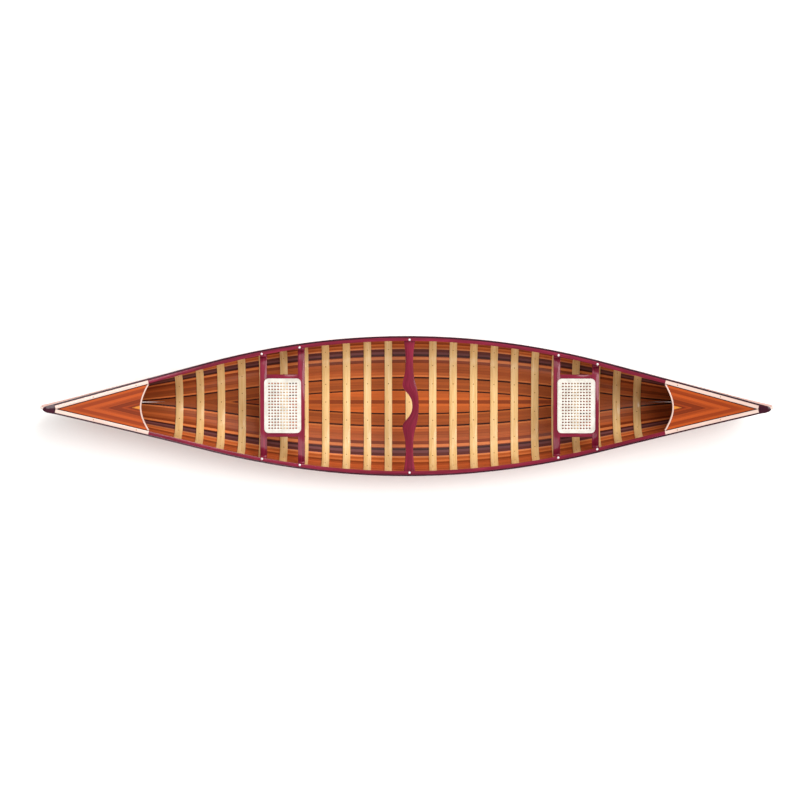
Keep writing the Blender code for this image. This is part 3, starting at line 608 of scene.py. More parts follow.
# Colour bands of the strips, each from its own distance below the upper edge of the dark accent strip
COLUMNS_BAND = ("start", "colour")
LINE_HALF = 0.0050
OUTSIDE_BANDS = (
    (-0.100, "b05010"),
    (0.000, "5a200e"),
    (0.045, "c8681a"),
    (0.075, "2a0c04"),
    (0.081, "f0a43c"),
    (0.097, "2a0c04"),
    (0.104, "c4641a"),
    (0.160, "b85810"),
    (0.255, "b85a12"),
    (0.355, "7c3010"),
    (0.415, "c86c14"),
    (0.470, "cc7214"),
    (OUTER_V - LINE_HALF, "2a0c04"),
    (OUTER_V + LINE_HALF, "d88418"),
    (CENTRE_V - LINE_HALF, "2a0c04"),
    (CENTRE_V + LINE_HALF, "e8981c"),
)
INSIDE_BANDS = (
    (-0.100, "a4522c"),
    (0.000, "5a2a20"),
    (0.045, "b05e34"),
    (0.075, "3a1610"),
    (0.081, "ba7644"),
    (0.097, "3a1610"),
    (0.104, "b4603a"),
    (0.160, "c06c42"),
    (0.255, "c87848"),
    (0.338, "6a444a"),
    (0.400, "cc7e4c"),
    (0.470, "c87c4a"),
    (OUTER_V - LINE_HALF, "32120a"),
    (OUTER_V + LINE_HALF, "c07840"),
    (CENTRE_V - LINE_HALF, "32120a"),
    (CENTRE_V + LINE_HALF, "c27038"),
)
# Cedar figure: cycles per metre along and across a strip, and the step between strips
STREAKS_ALONG = 1.7
STREAKS_ACROSS = 320.0
STREAKS_STEP = 7.31
# Share of a strip's width, either side of its middle, that is clear of the glue line
CLEAR_OF_GLUE = 0.468
MEAN_TINT = linear("dcb89c")
BAND_ZERO = 0.10
BAND_SPAN = 0.90
# Tint of single strips, from the darkest heartwood to the palest sapwood
STRIP_TINTS = ((0.0, "967060"), (0.25, "bc9680"), (0.5, "dcb89c"), (0.75, "f2d2b2"), (1.0, "fff0d4"))


def strip_planking(name, bands, strip_width, film, coat_rough, contrast=1.0):
    """Strips glued edge to edge: each has its own tone and figure, with a thin dark glue line."""
    material, tree, shader = new_material(name)
    uv = add(tree, "ShaderNodeUVMap", uv_map="wood_run")
    parts = add(tree, "ShaderNodeSeparateXYZ", {"Vector": uv.outputs["UV"]})
    down = parts.outputs["Y"]
    moved = add(tree, "ShaderNodeMath", {0: down}, {1: BAND_ZERO}, operation="ADD")
    share = add(tree, "ShaderNodeMath", {0: moved}, {1: BAND_SPAN}, operation="DIVIDE")
    base = add(tree, "ShaderNodeValToRGB", {"Fac": share},
               stops=[((start + BAND_ZERO) / BAND_SPAN, code) for start, code in bands])
    base.color_ramp.interpolation = "CONSTANT"
    count = add(tree, "ShaderNodeMath", {0: down}, {1: strip_width}, operation="DIVIDE")
    index = add(tree, "ShaderNodeMath", {0: count}, operation="FLOOR")
    tone = add(tree, "ShaderNodeTexWhiteNoise", {"W": index}, noise_dimensions="1D")
    tint = add(tree, "ShaderNodeValToRGB", {"Fac": tone.outputs["Value"]}, stops=STRIP_TINTS)
    own = add(tree, "ShaderNodeMath", {0: index}, {1: STREAKS_STEP}, operation="MULTIPLY")
    # Cedar figure: streaks about 1 m long and 3 mm wide, and slow clouds along each strip
    run = add(tree, "ShaderNodeMath", {0: parts.outputs["X"]}, {1: STREAKS_ALONG}, operation="MULTIPLY")
    across = add(tree, "ShaderNodeMath", {0: down}, {1: STREAKS_ACROSS}, operation="MULTIPLY")
    where = add(tree, "ShaderNodeCombineXYZ", {"X": run, "Y": across,
                                               "Z": own})
    figure = add(tree, "ShaderNodeTexNoise", {"Vector": where},
                 {"Scale": 1.0, "Detail": 7.0, "Roughness": 0.6, "Distortion": 0.35})
    slow = add(tree, "ShaderNodeCombineXYZ", {"X": run, "Z": own})
    cloud = add(tree, "ShaderNodeTexNoise", {"Vector": slow}, {"Scale": 0.6, "Detail": 2.0})
    edge = add(tree, "ShaderNodeMath", {0: count}, operation="FRACT")
    inside = add(tree, "ShaderNodeMath", {0: edge}, {1: 0.5, 2: CLEAR_OF_GLUE}, operation="COMPARE")
    shade = None
    for source, low, high, dark, light in (
            (figure.outputs["Fac"], 0.3, 0.7, 0.78, 1.20),
            (cloud.outputs["Fac"], 0.3, 0.7, 0.78, 1.20),
            (inside, 0.0, 1.0, 0.60, 1.0)):
        step = add(tree, "ShaderNodeMapRange", {"Value": source},
                   {"From Min": low, "From Max": high, "To Min": dark, "To Max": light})
        shade = step if shade is None else add(tree, "ShaderNodeMath", {0: shade, 1: step},
                                               operation="MULTIPLY")
    mild = add(tree, "ShaderNodeMix", {"B": tint.outputs["Color"]}, {"Factor": contrast, "A": MEAN_TINT},
               data_type="RGBA")
    own_tone = add(tree, "ShaderNodeVectorMath", {0: base.outputs["Color"], 1: mild.outputs["Result"]},
                   operation="MULTIPLY")
    tinted = add(tree, "ShaderNodeVectorMath", {0: own_tone, "Scale": shade}, operation="SCALE")
    wire(shader, {"Base Color": tinted})
    varnish(shader, film, coat_rough, 0.45)
    return material


def bright_metal(name, code, rough):
    """Turned or stamped metal with faint marks about a millimetre apart."""
    material, tree, shader = new_material(name)
    where = add(tree, "ShaderNodeTexCoord")
    marks = add(tree, "ShaderNodeTexNoise", {"Vector": where.outputs["Object"]},
                {"Scale": 900.0, "Detail": 2.0})
    tone = add(tree, "ShaderNodeMapRange", {"Value": marks.outputs["Fac"]},
               {"To Min": rough * 0.7, "To Max": rough * 1.4})
    wire(shader, {"Roughness": tone}, {"Base Color": linear(code), "Metallic": 1.0})
    return material


def split_cane(name):
    """Rattan skin, split and dried: pale cream, nearly matt, with fine fibres along the strand."""
    material, tree, shader = new_material(name)
    where = add(tree, "ShaderNodeTexCoord")
    fibres, patches = [
        add(tree, "ShaderNodeTexNoise", {"Vector": where.outputs["Object"]},
            {"Scale": scale, "Detail": detail}).outputs["Fac"]
        for scale, detail in ((700.0, 3.0), (22.0, 2.0))]
    colour = mean_colour(tree, fibres, patches, ((0.34, "bcb6aa"), (0.50, "cfcac0"), (0.66, "dedad2")))
    bump = add(tree, "ShaderNodeBump", {"Height": fibres}, {"Strength": 0.2, "Distance": 0.0004})
    wire(shader, {"Base Color": colour, "Normal": bump}, {"Roughness": 0.48})
    return material


COLUMNS_WOOD = ("material", "colours", "film", "seed", "long_scale", "cross_scale")
WOODS = {
    # Purpleheart, planed and varnished: deep red purple with fine straight pores
    "purpleheart": ("purpleheart_varnished", (
        (0.30, "480a18"), (0.48, "6a1428"), (0.58, "801e36"), (0.74, "982c46")), 0.35, 1.0, 3.0, 260.0),
    # Purpleheart, planed and oiled, coloured browner and darker than the inwales to stand for the shade on
    # the outwales (painted shade); the nose caps share it
    "shade_painted_purpleheart": ("purpleheart_painted_shade", (
        (0.30, "1c0610"), (0.50, "300a1a"), (0.70, "481024")), 0.35, 2.0, 3.0, 260.0),
    # Hard maple, sanded and varnished: pale pink cream with faint figure
    "maple": ("maple_varnished", (
        (0.30, "b8968a"), (0.50, "cdb0a4"), (0.70, "dac2b6")), 0.4, 4.0, 3.0, 260.0),
    # White cedar, steam bent and varnished: straw yellow with clear straight grain
    "white_cedar": ("white_cedar_varnished", (
        (0.28, "b48a4e"), (0.48, "d6ae74"), (0.72, "e6cc9e")), 0.25, 7.0, 2.2, 190.0),
}
COLUMNS_METAL = ("material", "colour", "roughness")
METALS = {
    # Stainless steel, turned: bright and slightly soft
    "steel": ("stainless_turned", "dcd6d4", 0.40),
    # Brass, stamped and left to age: dull brown yellow with a worn polish
    "brass": ("brass_stamped", "8a6428", 0.34),
}
MATERIALS = {}


def material_of(key):
    """Make each plain finish once."""
    if key not in MATERIALS:
        if key in WOODS:
            MATERIALS[key] = solid_wood(*WOODS[key])
        elif key in METALS:
            MATERIALS[key] = bright_metal(*METALS[key])
        else:
            MATERIALS[key] = split_cane("rattan_cane_split")
    return MATERIALS[key]


# Sizes and colours that a user would change
def distance(label, description, default, low, high):
    return FloatProperty(name=label, description=description, default=default, min=low, max=high,
                         subtype="DISTANCE", unit="LENGTH")


class CanoeJoinery(bpy.types.PropertyGroup):
    strip_width: distance("Strip width", "Width of one cedar strip on the sides and bottom",
                          0.0215, 0.012, 0.04)
    deck_strip_width: distance("Deck strip width", "Width of one strip in the mitred deck panels",
                          0.022, 0.012, 0.04)
    edge_radius: distance("Edge rounding", "Radius sanded on the edges of the hardwood pieces",
                          0.0026, 0.0005, 0.004)
    rib_edge_radius: distance("Rib edge rounding", "Radius sanded on the edges of the ribs",
                          0.0022, 0.0005, 0.004)


class CanoeFastenings(bpy.types.PropertyGroup):
    tack_spacing: distance("Tack spacing", "Distance between the tacks along a rib", 0.115, 0.03, 0.3)
    tack_width: distance("Tack head", "Width of a tack's head", 0.0075, 0.003, 0.02)
    washer_width: distance("Cup washer", "Width of the cup washers under the bolt heads",
                          0.0165, 0.01, 0.03)
    screw_width: distance("Deck screw head", "Width of the screw heads in the deck borders",
                          0.008, 0.004, 0.02)


class CanoeCaning(bpy.types.PropertyGroup):
    pitch: distance("Hole pitch", "Distance between the holes of the caned panels", 0.020, 0.01, 0.03)
    strand_width: distance("Strand width", "Width of the strands that lie square to the seat",
                          0.0037, 0.001, 0.006)
    strand_thickness: distance("Strand thickness", "Thickness of every cane strand", 0.0010, 0.0004, 0.002)


class CanoeStudio(bpy.types.PropertyGroup):
    camera_distance: distance("Camera distance", "Height of the camera over the boat", 25.0, 5.0, 60.0)
    camera_lean: FloatProperty(
        name="Camera lean", description="Angle of the camera away from straight above, to starboard",
        default=math.radians(4.4), subtype="ANGLE", unit="ROTATION")
    floor_colour: FloatVectorProperty(
        name="Floor", description="Colour of the studio floor", subtype="COLOR", size=4,
        default=linear("f4f3f1"), min=0.0, max=1.0)


# Planking
COLUMNS_PLANKING = ("node", "pair", "first_row", "last_row", "slot")
PLANKING = (
    ("sheer_planking", "side", 0.006, 0.104, "feature_strips"),
    ("side_planking", "side", 0.104, 0.355, "cedar_side"),
    ("bilge_strake", "side", 0.355, 0.415, "dark_strake"),
    ("lower_planking", "low", 0.415, 1.0, "cedar_bottom"),
)


def two_faced(item, outside, inside, quads):
    """Give the inner faces of a plate their own finish. Outer and inner faces alternate."""
    item.data.materials.clear()
    item.data.materials.append(outside)
    item.data.materials.append(inside)
    index = np.zeros(len(item.data.polygons), dtype=int)
    index[1:2 * quads:2] = 1
    item.data.polygons.foreach_set("material_index", index)


class CANOE_OT_planking(bpy.types.Operator):
    """Lay the strip planking of both sides and the bottom"""
    bl_idname = "canoe.planking"
    bl_label = "Planking"

    def execute(self, context):
        joinery = context.scene.canoe_joinery
        # Red cedar strips under glass cloth and many coats of varnish: deep, wet orange brown
        outside = strip_planking("cedar_strips_outside", OUTSIDE_BANDS, joinery.strip_width, 0.4, 0.06,
                                 0.6)
        # The same strips inside, under a thinner film: softer gloss, and the wood looks drier
        inside = strip_planking("cedar_strips_inside", INSIDE_BANDS, joinery.strip_width, 0.16, 0.25)
        for node, pair, first, last, slot in PLANKING:
            grid = SIDE_GRID if pair == "side" else LOW_GRID
            rows = [v for v in grid if first - 1e-9 <= v <= last + 1e-9]
            outer = np.array([grid[v][0] for v in rows])
            inner = np.array([grid[v][1] for v in rows])
            down = np.array([[strip_coordinate(a, v) for a in STATIONS] for v in rows])
            uv = np.stack([outer[:, :, 0], down], axis=-1)
            for side, sign in SIDES:
                turn = np.array([1.0, sign, 1.0])
                item = plate(node + "_strips_" + side, outer * turn, inner * turn, uv)
                two_faced(item, outside, inside, (len(rows) - 1) * (len(STATIONS) - 1))
                fasten(item, node + "_" + side)
        self.centre_field(outside, inside)
        return {"FINISHED"}

    def centre_field(self, outside, inside):
        """Lay the straight strips of the centre field, pointed at both ends."""
        line = LOW_GRID[CENTRE_V][0]
        shares = np.array((1.0, 0.8, 0.6, 0.4, 0.2, 0.0))
        outer = []
        down = []
        inner = []
        for x, half in line[:, :2]:
            run, y, z = bottom_section(min(abs(x), abs(line[0, 0]) * 0.999))
            line_wide = min(0.98 * LINE_HALF, 0.3 * half)
            side = np.concatenate([[half, half - line_wide], shares * (half - 1.04 * line_wide)])
            at = np.concatenate([side, -side[-2::-1]])
            across = GIRTH_MID - np.abs(at)
            across[[0, -1]] = CENTRE_V
            across[[1, -2]] = CENTRE_V + 0.98 * LINE_HALF
            down.append(across)
            height = np.interp(-np.abs(at), -y, z)
            slope = np.gradient(height, at) if half > 0.002 else np.zeros(len(at))
            n = np.stack([0.0 * at, -slope, 1.0 + 0.0 * at], axis=-1)
            n = n / np.linalg.norm(n, axis=1)[:, None]
            face = np.stack([x + 0.0 * at, at, height], axis=-1)
            outer.append(face)
            inner.append(face + n * PLANK)
        outer = np.array(outer)
        inner = np.array(inner)
        uv = np.stack([outer[:, :, 0], np.array(down)], axis=-1)
        item = plate("centre_planking_strips", outer, inner, uv)
        two_faced(item, outside, inside, (len(line) - 1) * (outer.shape[1] - 1))
        fasten(item, "centre_planking")


# Stems
COLUMNS_STEM_PROFILE = ("share_of_depth", "half_width")
STEM_PROFILE = (
    (0.00, STEM_BACK_HALF),
    (0.45, STEM_BACK_HALF - 0.0004),
    (0.80, 0.0066),
    (0.95, 0.0048),
    (0.99, 0.0026),
)


class CANOE_OT_stems(bpy.types.Operator):
    """Fit the pale outer stems to both ends"""
    bl_idname = "canoe.stems"
    bl_label = "Stems"

    def execute(self, context):
        last = float(np.interp(STEM_END_ANGLE, STEM_TURN[40:], STEM_S[40:]))
        rings = []
        for s in np.concatenate([np.linspace(TOP_EDGE + GAP, 0.35, 24), np.linspace(0.36, last, 60)]):
            px, pz, nx, nz, thick = [float(np.interp(s, STEM_S, column))
                                     for column in (STEM_X, STEM_Z, STEM_NX, STEM_NZ, STEM_T)]
            back = GAP + 0.0002
            depth = thick - back
            ring = []
            for d, y in [(d, -y) for d, y in STEM_PROFILE] + list(STEM_PROFILE[::-1]):
                at = back + depth * d
                ring.append((px + nx * at, y, max(pz + nz * at, 0.0005)))
            rings.append(ring)
        rings = np.array(rings)
        maple = material_of("maple")
        for end, sign in ENDS:
            item = bar(end + "_stem_band", rings * np.array([sign, 1.0, 1.0]), 0.0, 40.0)
            place(item, end + "_stem", maple)
        return {"FINISHED"}


# Gunwales
class CANOE_OT_gunwales(bpy.types.Operator):
    """Run the inwales and outwales along both sheers"""
    bl_idname = "canoe.gunwales"
    bl_label = "Gunwales"

    def execute(self, context):
        radius = context.scene.canoe_joinery.edge_radius
        purple = material_of("purpleheart")
        stops = [a for a in STATIONS if abs(a) < 0.994] + [-0.998, 0.998]
        stops += [edge + step for edge in (-CAP_A, CAP_A) for step in (-0.0002, 0.0002)]
        outwale = [eased(outwale_section(a, abs(a) > CAP_A), radius) for a in sorted(stops)]
        inwale = [eased_wale(inwale_section(a, INWALE_WIDE), radius) for a in INWALE_STOPS]
        for side, sign in SIDES:
            turn = np.array([1.0, sign, 1.0])
            # The outwales take the darker purpleheart copy: painted shade on the same timber as the inwales
            place(bar("outwale_rail_" + side, np.array(outwale) * turn, sign), "outwale_" + side,
                  material_of("shade_painted_purpleheart"))
            place(bar("inwale_rail_" + side, np.array(inwale) * turn, 3.0 * sign), "inwale_" + side,
                  purple)
        return {"FINISHED"}


# Ribs
def rib_edge(x):
    line = inner_section(x)
    foot = under_inwale(x)
    share = (line[0, 1] - foot) / (line[0, 1] - line[1, 1])
    top = line[0] + (line[1] - line[0]) * share
    half = np.concatenate([[top], line[1:]])
    return np.concatenate([half, half[-2::-1] * np.array([-1.0, 1.0])])


def rib_face(x, distance):
    edge = rib_edge(x)
    moved = offset_line(edge, -distance)
    moved[0, 1] = edge[0, 1]
    moved[-1, 1] = edge[-1, 1]
    return np.concatenate([np.full((len(moved), 1), x), moved], axis=1)


RIB_PLACES = [first + pitch * step for first, pitch, count in RIB_RUNS for step in range(count)]


class CANOE_OT_ribs(bpy.types.Operator):
    """Bend the ribs into the hull from inwale to inwale"""
    bl_idname = "canoe.ribs"
    bl_label = "Ribs"

    def execute(self, context):
        radius = context.scene.canoe_joinery.rib_edge_radius
        bent = material_of("white_cedar")
        half = RIB_WIDE / 2.0
        deep = GAP + RIB_THICK
        # Place across the rib and height over the planking, round its section
        corners = ((-half, GAP), (-half, deep - radius), (-half + 0.3 * radius, deep - 0.3 * radius),
                   (-half + radius, deep), (half - radius, deep),
                   (half - 0.3 * radius, deep - 0.3 * radius), (half, deep - radius), (half, GAP))
        for number, x in enumerate(RIB_PLACES, 1):
            sections = np.stack([rib_face(x + dx, d) for dx, d in corners], axis=1)
            item = bar("rib_%02d_bent" % number, sections, 0.37 * number, 40.0)
            place(item, "rib_%02d" % number, bent)
        return {"FINISHED"}


# Decks
DECK_BANDS = (
    (0.0000, "32120a"),
    (0.0042, "b85e26"),
    (0.0260, "b05420"),
    (0.0700, "a04a1a"),
    (0.1180, "7a3010"),
    (0.1270, "d4923e"),
)


# Panel: set back from the deck's inner end, and ended where it would be this narrow
PANEL_SETBACK = 0.0008
PANEL_TIP_HALF = 0.004
COAMING_READ = 0.004
BORDER_ROUND = 0.0012
COAMING_ROUND = 0.0022
CAP_ROUND = 0.0020


class CANOE_OT_decks(bpy.types.Operator):
    """Fit borders, mitred strip panels, coamings and tip caps at both ends"""
    bl_idname = "canoe.decks"
    bl_label = "Decks"

    def execute(self, context):
        # Red cedar strips mitred at the centreline, sanded and varnished: warm, even and fairly glossy
        strips = strip_planking("cedar_deck_strips", DECK_BANDS,
                                context.scene.canoe_joinery.deck_strip_width, 0.4, 0.12, 0.45)
        stops = np.linspace((DECK_INNER_X + 0.0001) / SHEER_END_X,
                            (CAP_INNER_X - 0.0002) / SHEER_END_X, 30)
        border = np.array([inwale_section(a, BORDER_WIDE) for a in stops])
        for end, sign in ENDS:
            name = end + "_deck"
            flip = np.array([sign, 1.0, 1.0])
            self.borders(name, flip, border)
            arc = self.panel(name, flip, border[:, 1], strips)
            self.coaming(name, flip, border, arc)
            self.nose_cap(name, flip)
        return {"FINISHED"}

    def borders(self, name, flip, border):
        rounded = np.array([eased_wale(list(section), BORDER_ROUND) for section in border])
        for side, sign in SIDES:
            item = bar(name + "_edge_" + side, rounded * np.array([1.0, sign, 1.0]) * flip, sign)
            place(item, name + "_border_" + side, material_of("maple"))

    def panel(self, name, flip, edge, strips):
        """Lay the strips between the borders, and give the line of their ends over the cockpit."""
        tip_x = float(np.interp(-PANEL_TIP_HALF, -edge[:, 1], edge[:, 0]))
        shares = np.linspace(-1.0, 1.0, 25)
        start_x = DECK_INNER_X + PANEL_SETBACK + DECK_ARC_DEEP * (1.0 - shares ** 2)
        top = []
        run = []
        for step in np.linspace(0.0, 1.0, 20):
            xs = start_x + step * (tip_x - start_x)
            halves = np.interp(xs, edge[:, 0], edge[:, 1]) - GAP
            top.append(np.stack([xs, shares * halves, sheer_z(xs)], axis=-1))
            run.append(np.stack([xs, halves - np.abs(shares * halves)], axis=-1))
        top = np.array(top)
        low = top - np.array([0.0, 0.0, DECK_THICK])
        item = plate(name + "_mitred_panel", top * flip, low * flip, np.array(run))
        place(item, name + "_panel", strips)
        return top[0]

    def coaming(self, name, flip, border, arc):
        at = DECK_INNER_X + COAMING_READ
        reach_y = min(float(np.interp(at, border[:, k, 0], border[:, k, 1])) for k in (1, 2)) - GAP

        def held(line):
            return np.stack([line[:, 0], np.clip(line[:, 1], -reach_y, reach_y)], axis=1)

        back = offset_line(held(arc), GAP + 0.0001)
        front = held(offset_line(back, COAMING_THICK))
        sections = []
        for (bx, by), (fx, fy) in zip(held(back), front):
            z = sheer_z(bx) + COAMING_PROUD
            section = [(bx, by, z), (fx, fy, z), (fx, fy, z - COAMING_DEEP), (bx, by, z - COAMING_DEEP)]
            sections.append(eased(section, COAMING_ROUND))
        place(bar(name + "_coaming_bent", np.array(sections) * flip, 0.4), name + "_coaming",
              material_of("maple"))

    def nose_cap(self, name, flip):
        sections = []
        wide = float(outwale_section(CAP_INNER_X / SHEER_END_X, False)[1][1])
        for step in 1.0 - np.linspace(1.0, 0.0, 22) ** 1.7:
            x = CAP_INNER_X + 0.0008 + step * (CAP_NOSE_X - CAP_INNER_X)
            half = wide * (1.0 - CAP_TAPER * step) * math.sqrt(max(1.0 - step ** CAP_ROUND_POWER, 0.03))
            z = sheer_z(x)
            section = [(x, -half, z), (x, half, z), (x, half, z - LIP), (x, -half, z - LIP)]
            sections.append(eased(section, CAP_ROUND))
        # The caps share the darker purpleheart copy that was made as painted shade for the outwales
        place(bar(name + "_nose_cap", np.array(sections) * flip, 0.8), name + "_tip_cap",
              material_of("shade_painted_purpleheart"))


# Seats
BAR_THICK = 0.018
SEAT_DROP = 0.028
SPACER_WIDE = 0.016
SIDE_CLEAR = 0.0108
RAIL_INNER = 0.176
RAIL_OUTER = 0.209
CANE_HALF_Y = 0.1826
END_EASE = 0.0016
SPACER_ROUND = 0.0016
COLUMNS_SEAT = ("name", "bar_fore_x", "bar_aft_x")
SEATS = (
    ("bow_seat", -0.957, -0.704),
    ("stern_seat", 1.001, 1.260),
)


def inner_half(x, z):
    line = inner_section(x)
    return float(np.interp(z, line[::-1, 1], line[::-1, 0]))


def joined(name, items):
    """Make one piece of several closed bodies."""
    body = bmesh.new()
    for item in items:
        body.from_mesh(item.data)
        mesh = item.data
        bpy.data.objects.remove(item, do_unlink=True)
        bpy.data.meshes.remove(mesh)
    mesh = bpy.data.meshes.new(name)
    body.to_mesh(mesh)
    body.free()
    mesh.set_sharp_from_angle(angle=math.radians(50.0))
    return stand(name, mesh)


def beam(name, start, end, low, high, radius, offset=0.0):
    """A straight rail along its longest side between two opposite corners, with rounded edges."""
    size = [abs(end[k] - start[k]) for k in range(2)]
    run = 0 if size[0] >= size[1] else 1
    cross = 1 - run
    sections = []
    for at, ease in ((0.0, END_EASE), (END_EASE, 0.0), (size[run] - END_EASE, 0.0),
                     (size[run], END_EASE)):
        corner = []
        for c, z in ((ease, low + ease), (ease, high - ease), (size[cross] - ease, high - ease),
                     (size[cross] - ease, low + ease)):
            p = np.zeros(3)
            p[run] = min(start[run], end[run]) + at
            p[cross] = min(start[cross], end[cross]) + c
            p[2] = z
            corner.append(p)
        sections.append(eased(corner, radius))
    return bar(name, sections, offset)


class CANOE_OT_seats(bpy.types.Operator):
    """Hang the two seat frames: crossbars, spacers and side rails"""
    bl_idname = "canoe.seats"
    bl_label = "Seat frames"

    def execute(self, context):
        radius = context.scene.canoe_joinery.edge_radius
        purple = material_of("purpleheart")
        for name, x_fore, x_aft in SEATS:
            top = seat_top(x_fore, x_aft)
            half = BAR_WIDE / 2.0
            for label, centre in (("fore", x_fore), ("aft", x_aft)):
                bar_half = min(inner_half(centre + d, top - BAR_THICK) for d in (-half, half)) - SIDE_CLEAR
                heads = min(inner_half(centre + d, top + SEAT_DROP) for d in (-half, half)) - SIDE_CLEAR
                post_out = min(heads, bar_half)
                parts = [beam("bar", (centre - half, -bar_half), (centre + half, bar_half),
                              top - BAR_THICK, top, radius, centre)]
                high = min(under_inwale(centre - half), under_inwale(centre + half))
                for sign in (-1.0, 1.0):
                    parts.append(beam("spacer", (centre - half + 0.001, sign * post_out),
                                      (centre + half - 0.001, sign * (post_out - SPACER_WIDE)),
                                      top - 0.001, high, SPACER_ROUND, centre))
                place(joined(name + "_bar_" + label, parts), name + "_crossbar_" + label,
                      purple)
            for side, sign in SIDES:
                rail = beam(name + "_stretcher_" + side, (x_fore + half + GAP, sign * RAIL_INNER),
                            (x_aft - half - GAP, sign * RAIL_OUTER), top - BAR_THICK, top, radius,
                            5.0 + sign)
                place(rail, name + "_rail_" + side, purple)
        return {"FINISHED"}


def seat_top(x_fore, x_aft):
    return min(under_inwale(x_fore), under_inwale(x_aft)) - SEAT_DROP


# Yoke
YOKE_THICK = 0.020
YOKE_ROUND = 0.0060
NECK_DISH = 0.004
NECK_REACH = 0.075


class CANOE_OT_yoke(bpy.types.Operator):
    """Fit the portage yoke between the inwales"""
    bl_idname = "canoe.yoke"
    bl_label = "Yoke"

    def execute(self, context):
        table = np.array(YOKE_EDGE)
        table = np.concatenate([table[:0:-1] * np.array([-1.0, 1.0, 1.0]), table])
        y = np.linspace(-YOKE_EDGE[-1][0], YOKE_EDGE[-1][0], 175)
        window = np.array((1.0, 2.0, 3.0, 4.0, 3.0, 2.0, 1.0)) / 16.0
        edges = []
        for column in (1, 2):
            line = np.interp(y, table[:, 0], table[:, column])
            padded = np.concatenate([np.full(3, line[0]), line, np.full(3, line[-1])])
            edges.append(np.convolve(padded, window, mode="valid"))
        top = under_inwale(0.0)
        low = top - YOKE_THICK
        sections = []
        for at, bow, stern in zip(y, edges[0] + YOKE_X, edges[1] + YOKE_X):
            # The neck is dished, and the arms are rounded well
            dish = NECK_DISH * math.exp(-(at / NECK_REACH) ** 2)
            corner = [(bow, at, low), (bow, at, top - dish - 0.001), (stern, at, top - 0.001),
                      (stern, at, low)]
            sections.append(eased(corner, YOKE_ROUND))
        place(bar("yoke_carved", sections), "yoke", material_of("purpleheart"))
        return {"FINISHED"}


# Geometry Nodes
def new_tree(name, sockets):
    """Start a node tree with named inputs; returns the tree and its input and output nodes."""
    tree = bpy.data.node_groups.new(name, "GeometryNodeTree")
    tree.interface.new_socket(name="Geometry", in_out="INPUT", socket_type="NodeSocketGeometry")
    for label, kind, value in sockets:
        socket = tree.interface.new_socket(name=label, in_out="INPUT", socket_type=kind)
        if value is not None:
            socket.default_value = value
    tree.interface.new_socket(name="Geometry", in_out="OUTPUT", socket_type="NodeSocketGeometry")
    return tree, add(tree, "NodeGroupInput"), add(tree, "NodeGroupOutput")


def close_tree(tree, source, given, result):
    """Realize what was instanced and give it the material handed in."""
    real = add(tree, "GeometryNodeRealizeInstances", {0: source})
    done = add(tree, "GeometryNodeSetMaterial", {"Geometry": real,
                                                 "Material": given.outputs["Material"]})
    wire(result, {0: done})


def grow(name, verts, edges, ways, tree, values):
    """Run a tree on a few guide points and keep what it makes as one plain mesh."""
    mesh = bpy.data.meshes.new(name + "_guide")
    mesh.from_pydata([tuple(float(c) for c in v) for v in verts], edges, [])
    way = mesh.attributes.new("way", "FLOAT_VECTOR", "POINT")
    way.data.foreach_set("vector", np.asarray(ways, dtype=float).reshape(-1))
    guide = stand(name + "_guide", mesh)
    step = guide.modifiers.new("grow", "NODES")
    step.node_group = tree
    sockets = {s.name: s.identifier for s in tree.interface.items_tree if s.in_out == "INPUT"}
    for label, value in values.items():
        step[sockets[label]] = value
    bpy.context.view_layer.update()
    ready = guide.evaluated_get(bpy.context.evaluated_depsgraph_get())
    made = bpy.data.meshes.new_from_object(ready)
    guide.modifiers.clear()
    bpy.data.objects.remove(guide, do_unlink=True)
    bpy.data.meshes.remove(mesh)
    if not made.polygons:
        raise RuntimeError(name + " came out empty")
    made.name = name
    return stand(name, made)


def turned_to_way(tree):
    way = add(tree, "GeometryNodeInputNamedAttribute", None, {"Name": "way"}, data_type="FLOAT_VECTOR")
    return add(tree, "FunctionNodeAlignRotationToVector", {"Vector": way.outputs["Attribute"]}, None,
               axis="Z")


def tack_tree():
    """Domed tack heads evenly spaced along guide lines."""
    tree, given, result = new_tree("Rib tacks", (
        ("Spacing", "NodeSocketFloat", 0.115), ("Head width", "NodeSocketFloat", 0.0075),
        ("Head height", "NodeSocketFloat", 0.0012), ("Material", "NodeSocketMaterial", None)))
    line = add(tree, "GeometryNodeMeshToCurve", {"Mesh": given.outputs["Geometry"]})
    even = add(tree, "GeometryNodeResampleCurve", {"Curve": line,
                                                   "Length": given.outputs["Spacing"]}, None, mode="LENGTH")
    half = add(tree, "ShaderNodeMath", {0: given.outputs["Head width"]}, {1: 0.5}, operation="MULTIPLY")
    ball = add(tree, "GeometryNodeMeshUVSphere", None, {"Segments": 12, "Rings": 6, "Radius": 1.0})
    size = add(tree, "ShaderNodeCombineXYZ", {"X": half, "Y": half,
                                              "Z": given.outputs["Head height"]})
    dome = add(tree, "GeometryNodeTransform", {"Geometry": ball.outputs["Mesh"], "Scale": size})
    smooth = add(tree, "GeometryNodeSetShadeSmooth", {0: dome})
    set_in = add(tree, "GeometryNodeInstanceOnPoints", {"Points": even,
                                                        "Instance": smooth,
                                                        "Rotation": turned_to_way(tree)})
    close_tree(tree, set_in, given, result)
    return tree


# Shares of the washer's own width and height: its upper edge, and the head's width and height
WASHER_NECK = 0.74
HEAD_WIDE = 0.62
HEAD_HIGH = 0.55


